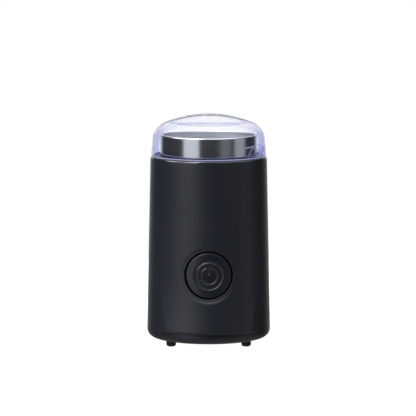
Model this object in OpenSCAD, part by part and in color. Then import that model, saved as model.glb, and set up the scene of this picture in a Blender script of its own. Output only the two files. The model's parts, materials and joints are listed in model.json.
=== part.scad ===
// Electric spice grinder: a tapered housing with a fixed steel bowl, a clear lid and a push button.
// Millimetres. +Z is up, the front faces -Y, and the origin is on the ground under the bowl's axis.

/* [Housing] */
// Height of the housing, from its foot edge to its deck
housing_h = 135.5; // [131:0.5:146]
// Largest radius, just above the rounded foot edge
base_r = 46; // [45.5:0.1:48]
// Radius at the top edge, below the lid
top_r = 43.3; // [43:0.1:44.5]
// Thickness of the moulded walls
wall = 2.4; // [2:0.1:2.6]
// Radius of the rounded foot edge
base_round = 6; // [4:0.5:6]
// Radius of the rounded top edge
top_round = 1; // [0.6:0.1:1.6]
// Height of the front panel's chin above the foot edge
chin_rise = 9.5; // [8:0.5:12]
// How far the chin stands out of the tapered shell
chin_out = 2.7; // [2:0.1:4]
// Height over which the front panel flares out to its chin
flare_h = 46; // [36:1:60]
// Radius of the chin's rounded edge
chin_round = 1.5; // [1:0.1:2]
// Angle from the front at which the panel's side facets lie against the shell
facet_angle = 62; // [56:1:66]

/* [Feet and base] */
// Height of the feet below the housing
foot_h = 4.5; // [3.5:0.1:6]
// Radius of a foot
foot_r = 3.6; // [3:0.1:3.8]
// Distance of the feet inside the base cover's edge
foot_in = 4.1; // [3.9:0.1:6]
// Angle of the feet from the left-right axis
foot_angle = 38.2; // [35:0.1:42]
// Distance of the base screws inside the base cover's edge
base_screw_in = 3.2; // [3:0.1:4]
// Width of an air slot in the base cover
slot_w = 2.4; // [1.6:0.1:3]

/* [Lid] */
// Height of the lid, from its edge to its crown
lid_h = 31; // [28:0.5:34]
// Thickness of the clear wall
lid_wall = 2; // [1.6:0.1:2.2]
// Radius of the lid's crown
crown_r = 86; // [80:1:100]
// Radius of the lid's rounded shoulder
shoulder_r = 14; // [11:0.5:15]
// Draft of the lid's side, from its edge to its shoulder
lid_draft = 1; // [0.6:0.1:1.4]
// How far the lid's edge stays inside the housing's edge
lid_inset = 0.5; // [0.3:0.1:0.8]
// Distance of the front step in front of the axis
step_at = 12; // [8:0.5:16]
// Depth of the front step below the crown
step_drop = 6.3; // [5:0.1:7]
// Width of the pad inside the lid's right side
pad_w = 54; // [44:1:58]
// Height of that pad
pad_h = 6; // [5:0.5:8]

/* [Bowl and blade] */
// Outer radius of the steel bowl
bowl_r = 36; // [34:0.1:36]
// Thickness of the bowl's steel
bowl_wall = 0.8; // [0.6:0.1:1]
// Height of the bowl's rim above the deck
bowl_rise = 16; // [13:0.5:18]
// Outer depth of the bowl
bowl_depth = 43; // [40:0.5:45]
// Radius of the bowl's lower corner
bowl_corner = 8; // [6:0.5:12]
// Wire radius of the bowl's rolled rim
bead_r = 0.9; // [0.8:0.05:1.2]
// Length of the blade, tip to tip
blade_len = 58; // [50:1:62]
// Width of a blade arm at its root
blade_w = 11; // [9:0.5:13]
// Thickness of the blade
blade_t = 1.2; // [1:0.1:1.6]
// Angle of the turned-up tips
tip_angle = 28; // [15:1:40]

/* [Button] */
// Height of the button's axis above the foot edge
button_rise = 51.5; // [50:0.5:54]
// Radius of the button cap
button_r = 17; // [16.5:0.1:18]
// Gap round the cap
button_gap = 0.8; // [0.5:0.1:1]
// Depth of the cap's face below the shell, whose curve it follows
button_sink = 1; // [0.8:0.1:2]
// Travel of the button
button_travel = 3; // [2:0.1:3]
// Depth of the recess round the cap, below the shell
dish_depth = 0.7; // [0.4:0.1:1.2]
// Width of that recess
dish_w = 2.2; // [1.6:0.1:3]
// Radius of the ring groove in the cap
ring_r = 10.3; // [9.5:0.1:12]
// Radius of the round mark inside that ring
mark_r = 6.3; // [5.5:0.1:7]

/* [Motor] */
// Gap between the base cover and the fan
fan_gap = 5.1; // [4:0.1:6]
// Radius of the fan
fan_r = 25; // [22:0.5:25]
// Height of the fan
fan_h = 8; // [6:0.5:10]
// Width of the stator, left to right
stator_w = 48; // [47.5:0.5:50]
// Depth of the stator, front to back
stator_d = 40; // [39.5:0.1:40]
// Height of the stator and rotor stacks
stack_h = 24; // [22:0.5:26]
// Radius of the rotor stack
rotor_r = 12; // [11.5:0.1:12.2]
// Air gap between rotor and stator
air_gap = 0.6; // [0.4:0.1:0.8]
// Radius of the motor shaft
shaft_r = 3; // [2.5:0.1:3.2]
// Thickness of the two motor brackets
bracket_t = 3; // [2.5:0.1:3.5]
// Outer radius of a bearing bush
bearing_r = 8; // [7:0.1:8.5]
// Height of a bearing bush
bearing_h = 6; // [5:0.5:7]
// Radius of the commutator
comm_r = 8; // [7:0.1:8.4]
// Height of the commutator
comm_h = 12; // [10:0.5:12]

/* [Cord inlet] */
// Height of the inlet's axis above the foot edge
inlet_rise = 13.5; // [12.5:0.5:15]
// Radius of the inlet's bore
inlet_r = 3.3; // [2.8:0.1:3.6]

/* [Hidden] */
$fn = 64;

// How far cutting solids run past what they cut
over = 1;
// Play between pieces that only have to clear each other
play = 0.3;
// Radial clearance of the shaft in its bearings and bushes
run_fit = 0.04;

// Levels of the housing
base_z = foot_h;
cover_top = base_z + wall;
deck_z = base_z + housing_h;
shell_foot_z = base_z + base_round;
taper = (base_r - top_r) / (deck_z - top_round - shell_foot_z);
function shell_r(z) = base_r - taper * (z - shell_foot_z);
function inner_r(z) = shell_r(z) - wall;
taper_angle = atan(taper);

// The front panel's flare
chin_z = base_z + chin_rise;
chin_r = shell_r(chin_z) + chin_out;
flare_start = 0.2;
facet_sink = 0.3;
function flare_r(t) = shell_r(chin_z + flare_h * (1 - t))
    + (chin_out + flare_start) * t * t - flare_start;

// The bottom opening and what closes it
opening_r = base_r - base_round - play;
cover_fit = 0.2;
cover_r = opening_r - cover_fit;
base_screw_at = cover_r - base_screw_in;
base_screw_angles = [70, 110, 250, 290];
base_screw_l = 12;
base_recess = 1;
post_r = 3.2;
post_h = 17;
screw_r = 1.3;
head_r = 2.6;
head_h = 1.8;
foot_x = (cover_r - foot_in) * cos(foot_angle);
foot_y = (cover_r - foot_in) * sin(foot_angle);
foot_round = 1;
foot_plug_r = 1.8;
foot_head_r = 2.6;
foot_head_h = 1.2;
slot_pitch = 5;

// The lid, which rests on the deck round a low rib
lid_gap = 0.2;
lid_z = deck_z + lid_gap;
lid_top = lid_z + lid_h;
lid_edge_r = top_r - lid_inset;
lid_side_r = lid_edge_r - lid_draft;
shoulder_x = lid_side_r - shoulder_r;
crown_z = lid_top - crown_r;
shoulder_z = crown_z + sqrt(pow(crown_r - shoulder_r, 2) - shoulder_x * shoulder_x);
crown_end = atan2(shoulder_z - crown_z, shoulder_x);
rib_t = 0.7;
rib_h = 0.9;
rib_r = lid_edge_r - lid_wall - play;
pad_t = 1.2;
pad_z = lid_z + rib_h + play;
pusher_w = 5;
nub_r = 1.8;
nub_h = 0.9;

// The bowl, the bush that clamps it and the deck's opening for it
rim_z = deck_z + bowl_rise;
bowl_z = rim_z - bowl_depth;
deck_hole_r = bowl_r + 0.4;
bush_r = 6.5;
bush_flange_r = 10;
bush_flange_t = 1.2;
bush_bore_r = shaft_r + 0.1;
nut_h = 3;
nut_r = 9;
seal_r = 5;
seal_h = 3;
bush_top = bowl_z + bowl_wall + bush_flange_t;

// The moulded carrier below the bowl
carrier_t = 5;
carrier_z = bowl_z - carrier_t;
carrier_r = inner_r(bowl_z) - play;
carrier_screw_angles = [60, 180, 300];
hanger_r = 2.9;
hanger_at = carrier_r - 2.4;
hanger_thread = 8;
vent_r = 3;
vent_at = bowl_r - 6;
leg_r = 3.5;
leg_x = 19;
leg_y = 16;
leg_at = [[leg_x, 0], [-leg_x, 0], [0, leg_y], [0, -leg_y]];
leg_thread = 7;

// The pin that the lid holds down, and its switch
pin_r = 1.2;
pin_fit = 0.2;
pin_at = (deck_hole_r + rib_r - rib_t) / 2;
pin_travel = 3;
pin_top = pad_z - lid_gap;
pin_collar_r = 1.95;
pin_collar_h = 2;
pin_wire_r = 0.22;
pin_coil_r = pin_r + 0.2 + pin_wire_r;
pin_spring_h = 16;
pin_depth = pin_travel + 0.6;
safety_w = 13;
safety_t = 5.4;
safety_h = 12;
safety_top = carrier_z - 7;
safety_plate_t = 2;
safety_screw_y = 4;
safety_screw_r = 1;
safety_screw_z = safety_top - 5;
tag_w = 2;
tag_t = 0.8;
tag_l = 4;
pin_end = safety_top - pin_depth;

// The button, along its own axis: distances from the bowl's axis towards the front
button_z = base_z + button_rise;
button_front = shell_r(button_z);
cap_face = button_front - button_sink;
cap_t = 2.2;
cap_skirt = 5.6;
cap_skirt_t = 1.8;
well_r = button_r + button_gap;
well_wall = 2;
well_floor_t = 2;
well_boss_r = 2.6;
well_floor = cap_face - cap_skirt - button_travel - well_floor_t;
well_back = well_floor - well_floor_t;
stem_r = 4;
spigot_r = 1.5;
spigot_l = 1;
clip_r = 6.6;
clip_t = 1;
stem_end = well_back - play - clip_t - 0.3;
button_coil_r = 6.1;
button_wire_r = 0.45;
spring_seat_r = 7.5;
groove_w = 1.3;
groove_depth = 0.5;
mark_w = 1;
mark_depth = 0.4;
mark_gap = 3.4;
mark_bar = 6.6;

// The main switch behind the button, on its own carrier
plunger_r = 1.5;
switch_front = stem_end - button_travel - 0.9;
plunger_end = switch_front - 0.8;
switch_back = stator_d / 2 + play;
switch_w = 20;
switch_h = 16;
carrier_plate_t = 1.6;
carrier_side_t = 2;
carrier_side_h = 12;
carrier_edge = 2.4;
switch_screw_at = 11.2;
switch_thread = 1.2;

// The motor, from the fan up
fan_z = cover_top + fan_gap;
lower_z = fan_z + fan_h + 10;
lower_top = lower_z + bracket_t;
comm_z = lower_top + 5;
lower_column = 28;
stack_z = lower_top + lower_column;
stack_top = stack_z + stack_h;
upper_column = 10.5;
upper_z = stack_top + upper_column;
upper_top = upper_z + bracket_t;
mount_t = 1.5;
mount_r = 4.5;
leg_end = upper_top + mount_t;
column_r = 2.8;
column_x = stator_w / 2 - 3.5;
column_y = stator_d / 2 - 3.2;
motor_screw_r = 1.5;
pocket_wall = 2;
retainer_t = 0.6;
shaft_end = fan_z - 1.5;
tip_r = shaft_r - 0.5;

// The stator's poles and windows, and the coils round its poles
bore_r = rotor_r + air_gap;
pole_r = bore_r + 1.6;
neck_y = 7;
coil_depth = 4.7;
coil_gap = 0.4;
bobbin_t = 0.35;
coil_in_x = pole_r + 0.3;
coil_out_x = coil_in_x + coil_depth;
window_x = coil_out_x + coil_gap;
window_y = stator_d / 2 - 6;
coil_out_y = window_y - coil_gap;
bobbin_lip = 0.2;
coil_end = 7;
winding_r = rotor_r - 1;
winding_h = 7;
slot_count = 12;

// The brushes, on the lower bracket
brush_z = comm_z + comm_h / 2;
brush_y = 5.8;
brush_h = 4.8;
brush_len = 8.5;
brush_gap = 0.3;
brush_fit = 0.1;
holder_in = comm_r + 1.6;
holder_out = 25;
holder_y = 11;
holder_top = brush_z + 5;
brush_wire_r = 0.25;
brush_coil_r = 1.8;
brush_cap_t = 1.4;
brush_cap_plug = 1.8;

// The blade on its hub
hub_z = bush_top + 0.5;
hub_h = 4;
hub_r = 7;
blade_z = hub_z + hub_h;
nut_top = 4;
blade_bend = 0.66;

// The inlet, its inner flange and the clamp behind it
inlet_z = base_z + inlet_rise;
inlet_wall = 1.5;
flange_r = 7;
clamp_y = fan_r + 2;
clamp_d = 6.5;
clamp_w = 17;
clamp_h = 5;
clamp_groove_r = inlet_r - 0.3;
clamp_screw_x = 6;
clamp_thread = 5.5;
gland_lip_t = 1.4;

// The pad on the rear wall, and what is screwed to it
rear_pad_t = 4;
pad_y = inner_r(stack_top) - rear_pad_t;
rear_pad_w = 26;
pad_margin = 3;
block_z = stack_z - 2;
block_w = 24;
block_h = 12;
block_d = 8;
block_screw_x = 9;
block_thread = 2.6;
wire_hole_x = 4;
wire_hole_r = 1.6;
cap_box_w = 18;
cap_box_h = 14;
cap_box_d = 7.5;
cap_box_z = block_z + block_h + pad_margin;
cutout_r = 3;
cutout_len = 14;

// The insulated leads: routes from one terminal to the next, clear of the motor and the shell
lead_r = 0.9;
lead_gap = 0.1;
terminal_w = 4;
terminal_t = 0.8;
terminal_drop = 6;
terminal_x = 6;
low_run_z = lower_top + 3;
side_run = stator_w / 2 + 8;
terminal_end = [terminal_x, -switch_back - 1 - terminal_t / 2,
    button_z - switch_h / 2 - terminal_drop - lead_gap];
brush_end = [holder_out + brush_cap_t + lead_gap, 0, brush_z + 1];
coil_end_at = [coil_out_x - bobbin_lip + lead_gap, coil_out_y - 5.6, stack_z - coil_end / 2];
cutout_end = [cutout_len / 2 + lead_gap, stator_d / 2 + cutout_r + 0.05, stack_z + stack_h / 2];
block_end = [block_w / 2 + lead_gap, pad_y - block_d / 2, block_z + block_h / 2];
safety_end = [pin_at, 2 * tag_w, safety_top - safety_h - tag_l - lead_gap];
function mirror_x(p) = [-p[0], p[1], p[2]];
LEADS = [
    [mirror_x(terminal_end), mirror_x(terminal_end) + [0, 0, -3],
        [-stator_w / 2 + 8, -stator_d / 2 - 5, low_run_z], [-side_run, -12, low_run_z],
        [-side_run - 2, 3, low_run_z + 4], [-side_run, 14, lower_top + 15],
        mirror_x(block_end) + [-12, -7, -10], mirror_x(block_end) + [-5, 0, -4],
        mirror_x(block_end) + [0, 0, -4]],
    [terminal_end, terminal_end + [0, 0, -3], [stator_w / 2 - 8, -stator_d / 2 - 5, low_run_z],
        [side_run - 3, -14, low_run_z + 1], [side_run, -6, brush_z - 2], brush_end + [3.5, 0, 0], brush_end],
    [safety_end, safety_end + [0, 0, -4], [pin_at - 2, 14, block_end[2] + 9], [28, 26, block_end[2] + 2],
        block_end + [5, 0, 0], block_end],
    [mirror_x(brush_end), mirror_x(brush_end) + [-3, 0, 0], mirror_x(brush_end) + [-4.5, 3, 6],
        mirror_x(coil_end_at) + [-6, 0, 0], mirror_x(coil_end_at)],
    [coil_end_at, coil_end_at + [5, 0, 0], [stator_w / 2 + 3.5, stator_d / 2, stack_z + 3],
        cutout_end + [12, 3, -1], cutout_end + [5, 0, 0], cutout_end],
    [mirror_x(cutout_end), mirror_x(cutout_end) + [-4, 0, 0], mirror_x(cutout_end) + [-9.5, 3.5, -2],
        mirror_x(block_end) + [-5, 0, 3], mirror_x(block_end) + [0, 0, 3]]
];

// ---------- shared shapes ----------

function arc(x, y, r, from, to, steps) =
    [for (i = [0:steps]) let (a = from + (to - from) * i / steps) [x + r * cos(a), y + r * sin(a)]];

module tube(r, hole_r, h) {
    difference() {
        cylinder(r = r, h = h);
        translate([0, 0, -over]) cylinder(r = hole_r, h = h + 2 * over);
    }
}

// A block given by its low and high corners
module block(low, high) {
    translate(low) cube(high - low);
}

// A pan-head screw with its tip up: the head lies below z = 0
module screw(length, r = screw_r) {
    cylinder(r = r, h = length);
    difference() {
        translate([0, 0, -head_h]) cylinder(r = head_r, h = head_h);
        for (a = [0, 90]) rotate([0, 0, a])
            block([-head_r * 0.6, -0.35, -head_h - over], [head_r * 0.6, 0.35, -head_h / 2]);
    }
}

// Places a child at a distance and an angle round the axis
module around(r, angle, z = 0) {
    rotate([0, 0, angle]) translate([r, 0, z]) children();
}

// Stands a child's +Z along the button's axis, towards the front
module along_button() {
    translate([0, 0, button_z]) rotate([90, 0, 0]) children();
}

// A helical spring that stands on z = 0
module spring(mean_r, wire_r, length, turns) {
    sides = 6;
    steps = turns * 16;
    rise = length - 2 * wire_r;
    points = [for (i = [0:steps], j = [0:sides - 1])
        let (a = 360 * i / 16, b = 360 * j / sides, r = mean_r + wire_r * cos(b))
        [r * cos(a), r * sin(a), wire_r + rise * i / steps + wire_r * sin(b)]];
    skin = [for (i = [0:steps - 1], j = [0:sides - 1])
        let (k = (j + 1) % sides)
        [i * sides + j, (i + 1) * sides + j, (i + 1) * sides + k, i * sides + k]];
    ends = [[for (j = [0:sides - 1]) j], [for (j = [sides - 1:-1:0]) steps * sides + j]];
    polyhedron(points = points, faces = concat(skin, ends));
}

function unit(v) = v / norm(v);

// A point of the smooth curve through b and c, with a before and d after
function between(a, b, c, d, t) =
    (2 * b + (c - a) * t + (2 * a - 5 * b + 4 * c - d) * t * t + (3 * b - a - 3 * c + d) * t * t * t) / 2;

function route(p, steps) = concat(
    [for (i = [0:len(p) - 2], s = [0:steps - 1])
        between(p[max(i - 1, 0)], p[i], p[i + 1], p[min(i + 2, len(p) - 1)], s / steps)],
    [p[len(p) - 1]]);

// A round lead along a smooth route through the given points
module lead(through) {
    sides = 8;
    path = route(through, 5);
    last = len(path) - 1;
    ends_at = len(through) - 1;
    along = [for (i = [0:last]) i == 0 ? unit(through[1] - through[0])
        : i == last ? unit(through[ends_at] - through[ends_at - 1])
        : unit(path[i + 1] - path[i - 1])];
    start = unit(cross(along[0], abs(along[0][2]) < 0.9 ? [0, 0, 1] : [1, 0, 0]));
    across = [for (i = 0, v = start; i <= last; i = i + 1,
        v = unit(v - (v * along[min(i, last)]) * along[min(i, last)])) v];
    points = [for (i = [0:last], j = [0:sides - 1]) let (b = 360 * j / sides)
        path[i] + lead_r * (cos(b) * across[i] + sin(b) * cross(along[i], across[i]))];
    skin = [for (i = [0:last - 1], j = [0:sides - 1]) let (k = (j + 1) % sides)
        [i * sides + j, (i + 1) * sides + j, (i + 1) * sides + k, i * sides + k]];
    ends = [[for (j = [0:sides - 1]) j], [for (j = [sides - 1:-1:0]) last * sides + j]];
    polyhedron(points = points, faces = concat(skin, ends));
}

// ---------- housing ----------

module shell_outside() {
    rotate_extrude() polygon(concat(
        [[0, base_z]],
        arc(base_r - base_round, shell_foot_z, base_round, -90, 0, 8),
        arc(top_r - top_round, deck_z - top_round, top_round, 0, 90, 4),
        [[0, deck_z]]));
}

module shell_inside() {
    corner = base_round - wall;
    rotate_extrude() polygon(concat(
        [[0, base_z - over], [opening_r, base_z - over], [opening_r, cover_top]],
        arc(base_r - base_round, shell_foot_z, corner, -90, 0, 6),
        [[inner_r(deck_z - wall), deck_z - wall], [0, deck_z - wall]]));
}

// The front panel: a flare that the two side facets and the chin bound
module front_panel() {
    steps = 10;
    intersection() {
        rotate_extrude() polygon(concat(
            [[0, chin_z + flare_h]],
            [for (i = [0:steps - 1]) [flare_r(i / steps), chin_z + flare_h * (1 - i / steps)]],
            arc(chin_r - chin_round, chin_z, chin_round, 0, -75, 5),
            [[base_r - 4, chin_z - chin_round - 1.4], [0, chin_z - chin_round - 1.4]]));
        facet_half(-1);
        facet_half(1);
        block([-2 * base_r, -2 * base_r, 0], [2 * base_r, -base_r * cos(facet_angle), 2 * deck_z]);
    }
}

module facet_half(side) {
    size = 6 * base_r;
    rotate([0, 0, -90 + side * facet_angle])
        translate([base_r - facet_sink, 0, shell_foot_z]) rotate([0, -taper_angle, 0])
        translate([-size, -size / 2, -size / 2]) cube(size);
}

// A solid whose side lies a given depth below the shell's, over the button's height
module sunk_shell(depth) {
    low = button_z - well_r - 2 * dish_w;
    high = button_z + well_r + 2 * dish_w;
    translate([0, 0, low]) cylinder(r1 = shell_r(low) - depth, r2 = shell_r(high) - depth, h = high - low);
}

// The well that the button slides in, with the two bosses of its switch carrier
module button_well() {
    along_button() {
        difference() {
            translate([0, 0, well_back]) cylinder(r = well_r + well_wall, h = button_front - well_back);
            translate([0, 0, well_floor]) cylinder(r = well_r, h = button_front);
        }
        for (side = [-1, 1]) translate([0, side * switch_screw_at, well_floor])
            cylinder(r = well_boss_r, h = well_floor_t);
    }
}

module button_cuts() {
    difference() {
        along_button() cylinder(r = well_r + dish_w, h = 2 * button_front);
        sunk_shell(dish_depth);
    }
    along_button() {
        translate([0, 0, well_floor]) difference() {
            cylinder(r = well_r, h = button_front);
            for (side = [-1, 1]) translate([0, side * switch_screw_at, -over])
                cylinder(r = well_boss_r, h = well_floor_t + over);
        }
        translate([0, 0, well_back - over]) cylinder(r = stem_r + pin_fit, h = 4 * over + well_floor_t);
        for (side = [-1, 1]) translate([0, side * switch_screw_at, well_back - over])
            cylinder(r = screw_r, h = well_floor_t + over + switch_thread + 0.2);
    }
}

// Posts, hangers and pads inside the shell, before they are trimmed to it
module inner_bosses() {
    for (a = base_screw_angles) {
        around(base_screw_at, a, cover_top) cylinder(r = post_r, h = post_h);
        rotate([0, 0, a])
            block([base_screw_at, -wall / 2, cover_top + wall], [base_r, wall / 2, cover_top + post_h]);
    }
    for (a = carrier_screw_angles) around(hanger_at, a, bowl_z)
        cylinder(r = hanger_r, h = deck_z - wall / 2 - bowl_z);
    block([-rear_pad_w / 2, pad_y, block_z - pad_margin],
        [rear_pad_w / 2, base_r, cap_box_z + cap_box_h + pad_margin]);
}

module housing() {
    color([0.16, 0.16, 0.18]) difference() {
        union() {
            difference() {
                union() {
                    shell_outside();
                    front_panel();
                }
                shell_inside();
            }
            intersection() {
                shell_outside();
                union() {
                    button_well();
                    inner_bosses();
                }
            }
            translate([0, 0, deck_z - over]) tube(rib_r, rib_r - rib_t, rib_h + over);
        }
        translate([0, 0, deck_z - wall - over]) cylinder(r = deck_hole_r, h = wall + 3 * over);
        translate([0, 0, bowl_z - over]) cylinder(r = bowl_r + play, h = bowl_depth);
        button_cuts();
        for (a = base_screw_angles) around(base_screw_at, a, cover_top - over)
            cylinder(r = screw_r, h = base_screw_l + over);
        for (a = carrier_screw_angles) around(hanger_at, a, bowl_z - over)
            cylinder(r = screw_r, h = hanger_thread + 1 + over);
        translate([pin_at, 0, deck_z - wall - over]) cylinder(r = pin_r + pin_fit, h = wall + 2 * over);
        translate([0, pad_y - over, inlet_z]) rotate([-90, 0, 0])
            cylinder(r = inlet_r + inlet_wall, h = base_r - pad_y + 2 * over);
        for (x = [-block_screw_x, block_screw_x]) translate([x, pad_y - over, block_z + block_h / 2])
            rotate([-90, 0, 0]) cylinder(r = screw_r, h = block_thread + 0.4 + over);
    }
}

module base_cover() {
    color([0.14, 0.14, 0.15]) difference() {
        union() {
            translate([0, 0, base_z]) cylinder(r = cover_r, h = wall);
            block([-clamp_w / 2, clamp_y, cover_top - over / 2], [clamp_w / 2, clamp_y + clamp_d, inlet_z]);
        }
        for (x = [-foot_x, foot_x], y = [-foot_y, foot_y])
            translate([x, y, base_z - over]) cylinder(r = foot_plug_r, h = wall + 2 * over);
        for (a = base_screw_angles) around(base_screw_at, a, base_z - over) {
            cylinder(r = screw_r + pin_fit, h = wall + 2 * over);
            cylinder(r = head_r + pin_fit, h = over + base_recess);
        }
        for (i = [-3:3]) let (x = slot_pitch * i, half = sqrt(pow(fan_r - slot_pitch, 2) - x * x))
            block([x - slot_w / 2, -half, base_z - over], [x + slot_w / 2, half, cover_top + over / 4]);
        translate([0, clamp_y - over, inlet_z]) rotate([-90, 0, 0])
            cylinder(r = clamp_groove_r, h = clamp_d + 2 * over);
        for (x = [-clamp_screw_x, clamp_screw_x])
            translate([x, clamp_y + clamp_d / 2, inlet_z - clamp_thread - 0.5])
                cylinder(r = screw_r, h = clamp_thread + 0.5 + over);
    }
}

module feet() {
    color([0.11, 0.11, 0.12])
    for (x = [-foot_x, foot_x], y = [-foot_y, foot_y]) translate([x, y, 0]) {
        rotate_extrude() polygon(concat(
            [[0, 0]], arc(foot_r - foot_round, foot_round, foot_round, -90, 0, 4),
            [[foot_r, base_z], [0, base_z]]));
        translate([0, 0, base_z - over]) cylinder(r = foot_plug_r, h = wall + over + foot_head_h / 2);
        translate([0, 0, cover_top]) cylinder(r = foot_head_r, h = foot_head_h);
    }
}

module base_screws() {
    color([0.6, 0.6, 0.62]) for (a = base_screw_angles)
        around(base_screw_at, a, base_z + base_recess) intersection() {
            screw(base_screw_l);
            translate([0, 0, 0.1 - base_recess]) cylinder(r = head_r, h = base_recess + base_screw_l);
        }
}

// ---------- bowl ----------

module bowl_carrier() {
    color([0.2, 0.2, 0.22]) difference() {
        union() {
            translate([0, 0, carrier_z]) cylinder(r = carrier_r, h = carrier_t);
            for (at = leg_at) translate([at[0], at[1], leg_end])
                cylinder(r = leg_r, h = carrier_z - leg_end + over);
            block([pin_at - safety_t / 2 - safety_plate_t, -safety_w / 2, safety_top - safety_h],
                [pin_at - safety_t / 2, safety_w / 2, carrier_z + over]);
        }
        translate([0, 0, carrier_z - over]) cylinder(r = bush_r, h = carrier_t + 2 * over);
        translate([pin_at, 0, carrier_z - over]) cylinder(r = pin_r + pin_fit, h = carrier_t + 2 * over);
        for (a = carrier_screw_angles) around(hanger_at, a, carrier_z - over)
            cylinder(r = screw_r + pin_fit, h = carrier_t + 2 * over);
        for (at = leg_at) translate([at[0], at[1], leg_end - over])
            cylinder(r = screw_r, h = min(leg_thread + 1, bowl_z - leg_end - 1) + over);
        for (y = [-safety_screw_y, safety_screw_y])
            translate([pin_at - safety_t / 2 - safety_plate_t - over, y, safety_screw_z])
            rotate([0, 90, 0]) cylinder(r = safety_screw_r, h = safety_plate_t + 2 * over);
        for (a = [30:60:330]) around(vent_at, a, carrier_z - over)
            cylinder(r = vent_r, h = carrier_t + 2 * over);
    }
}

module carrier_screws() {
    color([0.6, 0.6, 0.62]) for (a = carrier_screw_angles)
        around(hanger_at, a, carrier_z) screw(carrier_t + hanger_thread);
}

module grinding_bowl() {
    inside = bowl_corner - bowl_wall;
    color([0.75, 0.76, 0.78]) {
        difference() {
            rotate_extrude() polygon(concat(
                [[0, bowl_z]],
                arc(bowl_r - bowl_corner, bowl_z + bowl_corner, bowl_corner, -90, 0, 8),
                [[bowl_r, rim_z - bead_r], [bowl_r - bowl_wall, rim_z - bead_r]],
                arc(bowl_r - bowl_corner, bowl_z + bowl_corner, inside, 0, -90, 8),
                [[0, bowl_z + bowl_wall]]));
            translate([0, 0, bowl_z - over]) cylinder(r = bush_r, h = 3 * over);
        }
        translate([0, 0, rim_z - bead_r]) rotate_extrude()
            translate([bowl_r - bead_r, 0]) circle(r = bead_r, $fn = 24);
    }
}

module bowl_bush() {
    color([0.55, 0.55, 0.57]) difference() {
        union() {
            translate([0, 0, carrier_z - nut_h])
                cylinder(r = bush_r, h = bowl_z + bowl_wall - carrier_z + nut_h);
            translate([0, 0, bowl_z + bowl_wall]) cylinder(r = bush_flange_r, h = bush_flange_t);
        }
        translate([0, 0, carrier_z - nut_h - over]) cylinder(r = bush_bore_r, h = 2 * bowl_depth);
        translate([0, 0, bush_top - seal_h]) cylinder(r = seal_r, h = seal_h + over);
    }
}

module bowl_nut() {
    color([0.6, 0.6, 0.62]) translate([0, 0, carrier_z - nut_h]) difference() {
        cylinder(r = nut_r, h = nut_h, $fn = 6);
        translate([0, 0, -over]) cylinder(r = bush_r, h = nut_h + 2 * over);
    }
}

module shaft_seal() {
    color([0.1, 0.1, 0.1]) translate([0, 0, bush_top - seal_h]) tube(seal_r, shaft_r + run_fit, seal_h);
}

// ---------- lid ----------

// Half outline of the lid's outer skin (skin = 0) or of its hollow (skin = lid_wall)
module lid_outline(skin) {
    polygon(concat(
        [[0, skin > 0 ? lid_z - over : lid_z], [lid_edge_r - skin, skin > 0 ? lid_z - over : lid_z]],
        arc(shoulder_x, shoulder_z, shoulder_r - skin, 0, crown_end, 8),
        [for (i = [1:8]) let (a = crown_end + (90 - crown_end) * i / 8)
            [(crown_r - skin) * cos(a), crown_z + (crown_r - skin) * sin(a)]]));
}

// The space that the front step takes out of the crown
module step_space(skin) {
    block([-2 * base_r, -2 * base_r, lid_top - step_drop - skin], [2 * base_r, -step_at + skin, 2 * lid_top]);
}

module lid() {
    edge_in = lid_edge_r - lid_wall;
    pad_top = pad_z + pad_h;
    pad_lean = 3;
    color([0.85, 0.85, 0.95, 0.4]) {
        difference() {
            rotate_extrude() lid_outline(0);
            step_space(0);
            difference() {
                rotate_extrude() lid_outline(lid_wall);
                step_space(lid_wall);
                // The pad on the right side and the rib that holds the pin down
                intersection() {
                    difference() {
                        cylinder(r = base_r, h = 2 * lid_top);
                        cylinder(r = edge_in - lid_draft / 2 - pad_t, h = 2 * lid_top);
                    }
                    rotate([90, 0, 90]) linear_extrude(height = base_r) polygon([
                        [-pad_w / 2, pad_z], [pad_w / 2, pad_z],
                        [pad_w / 2 - pad_lean, pad_top], [-pad_w / 2 + pad_lean, pad_top]]);
                }
                block([pin_at - pin_r - pin_fit, -pusher_w / 2, pad_z], [base_r, pusher_w / 2, pad_top]);
            }
        }
        translate([0, 0, lid_top - lid_wall - nub_h]) cylinder(r = nub_r, h = nub_h + over / 2);
    }
}

// ---------- interlock ----------

module interlock_pin() {
    color([0.9, 0.9, 0.88]) translate([pin_at, 0, 0]) {
        translate([0, 0, pin_end]) cylinder(r = pin_r, h = pin_top - pin_end);
        translate([0, 0, bowl_z + pin_spring_h]) cylinder(r = pin_collar_r, h = pin_collar_h);
    }
}

module interlock_spring() {
    color([0.7, 0.7, 0.72]) translate([pin_at, 0, bowl_z + 0.1])
        spring(pin_coil_r, pin_wire_r, pin_spring_h - 0.2, 9);
}

module interlock_switch() {
    color([0.12, 0.12, 0.14]) difference() {
        block([pin_at - safety_t / 2, -safety_w / 2, safety_top - safety_h],
            [pin_at + safety_t / 2, safety_w / 2, safety_top]);
        translate([pin_at, 0, pin_end - play]) cylinder(r = pin_r + 0.1, h = pin_depth + over);
        for (y = [-safety_screw_y, safety_screw_y]) translate([pin_at - safety_t, y, safety_screw_z])
            rotate([0, 90, 0]) cylinder(r = safety_screw_r, h = safety_t / 2 + 2);
    }
    color([0.7, 0.6, 0.3]) for (y = [-2 * tag_w, 0, 2 * tag_w])
        block([pin_at - tag_t / 2, y - tag_w / 2, safety_top - safety_h - tag_l],
            [pin_at + tag_t / 2, y + tag_w / 2, safety_top - safety_h + 0.1]);
}

module interlock_screws() {
    small_head_r = 1.8;
    small_head_h = 1.2;
    color([0.6, 0.6, 0.62]) for (y = [-safety_screw_y, safety_screw_y])
        translate([pin_at - safety_t / 2 - safety_plate_t, y, safety_screw_z]) rotate([0, 90, 0]) {
            cylinder(r = safety_screw_r, h = safety_plate_t + 1.8);
            translate([0, 0, -small_head_h]) cylinder(r = small_head_r, h = small_head_h);
        }
}

// ---------- button ----------

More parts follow.
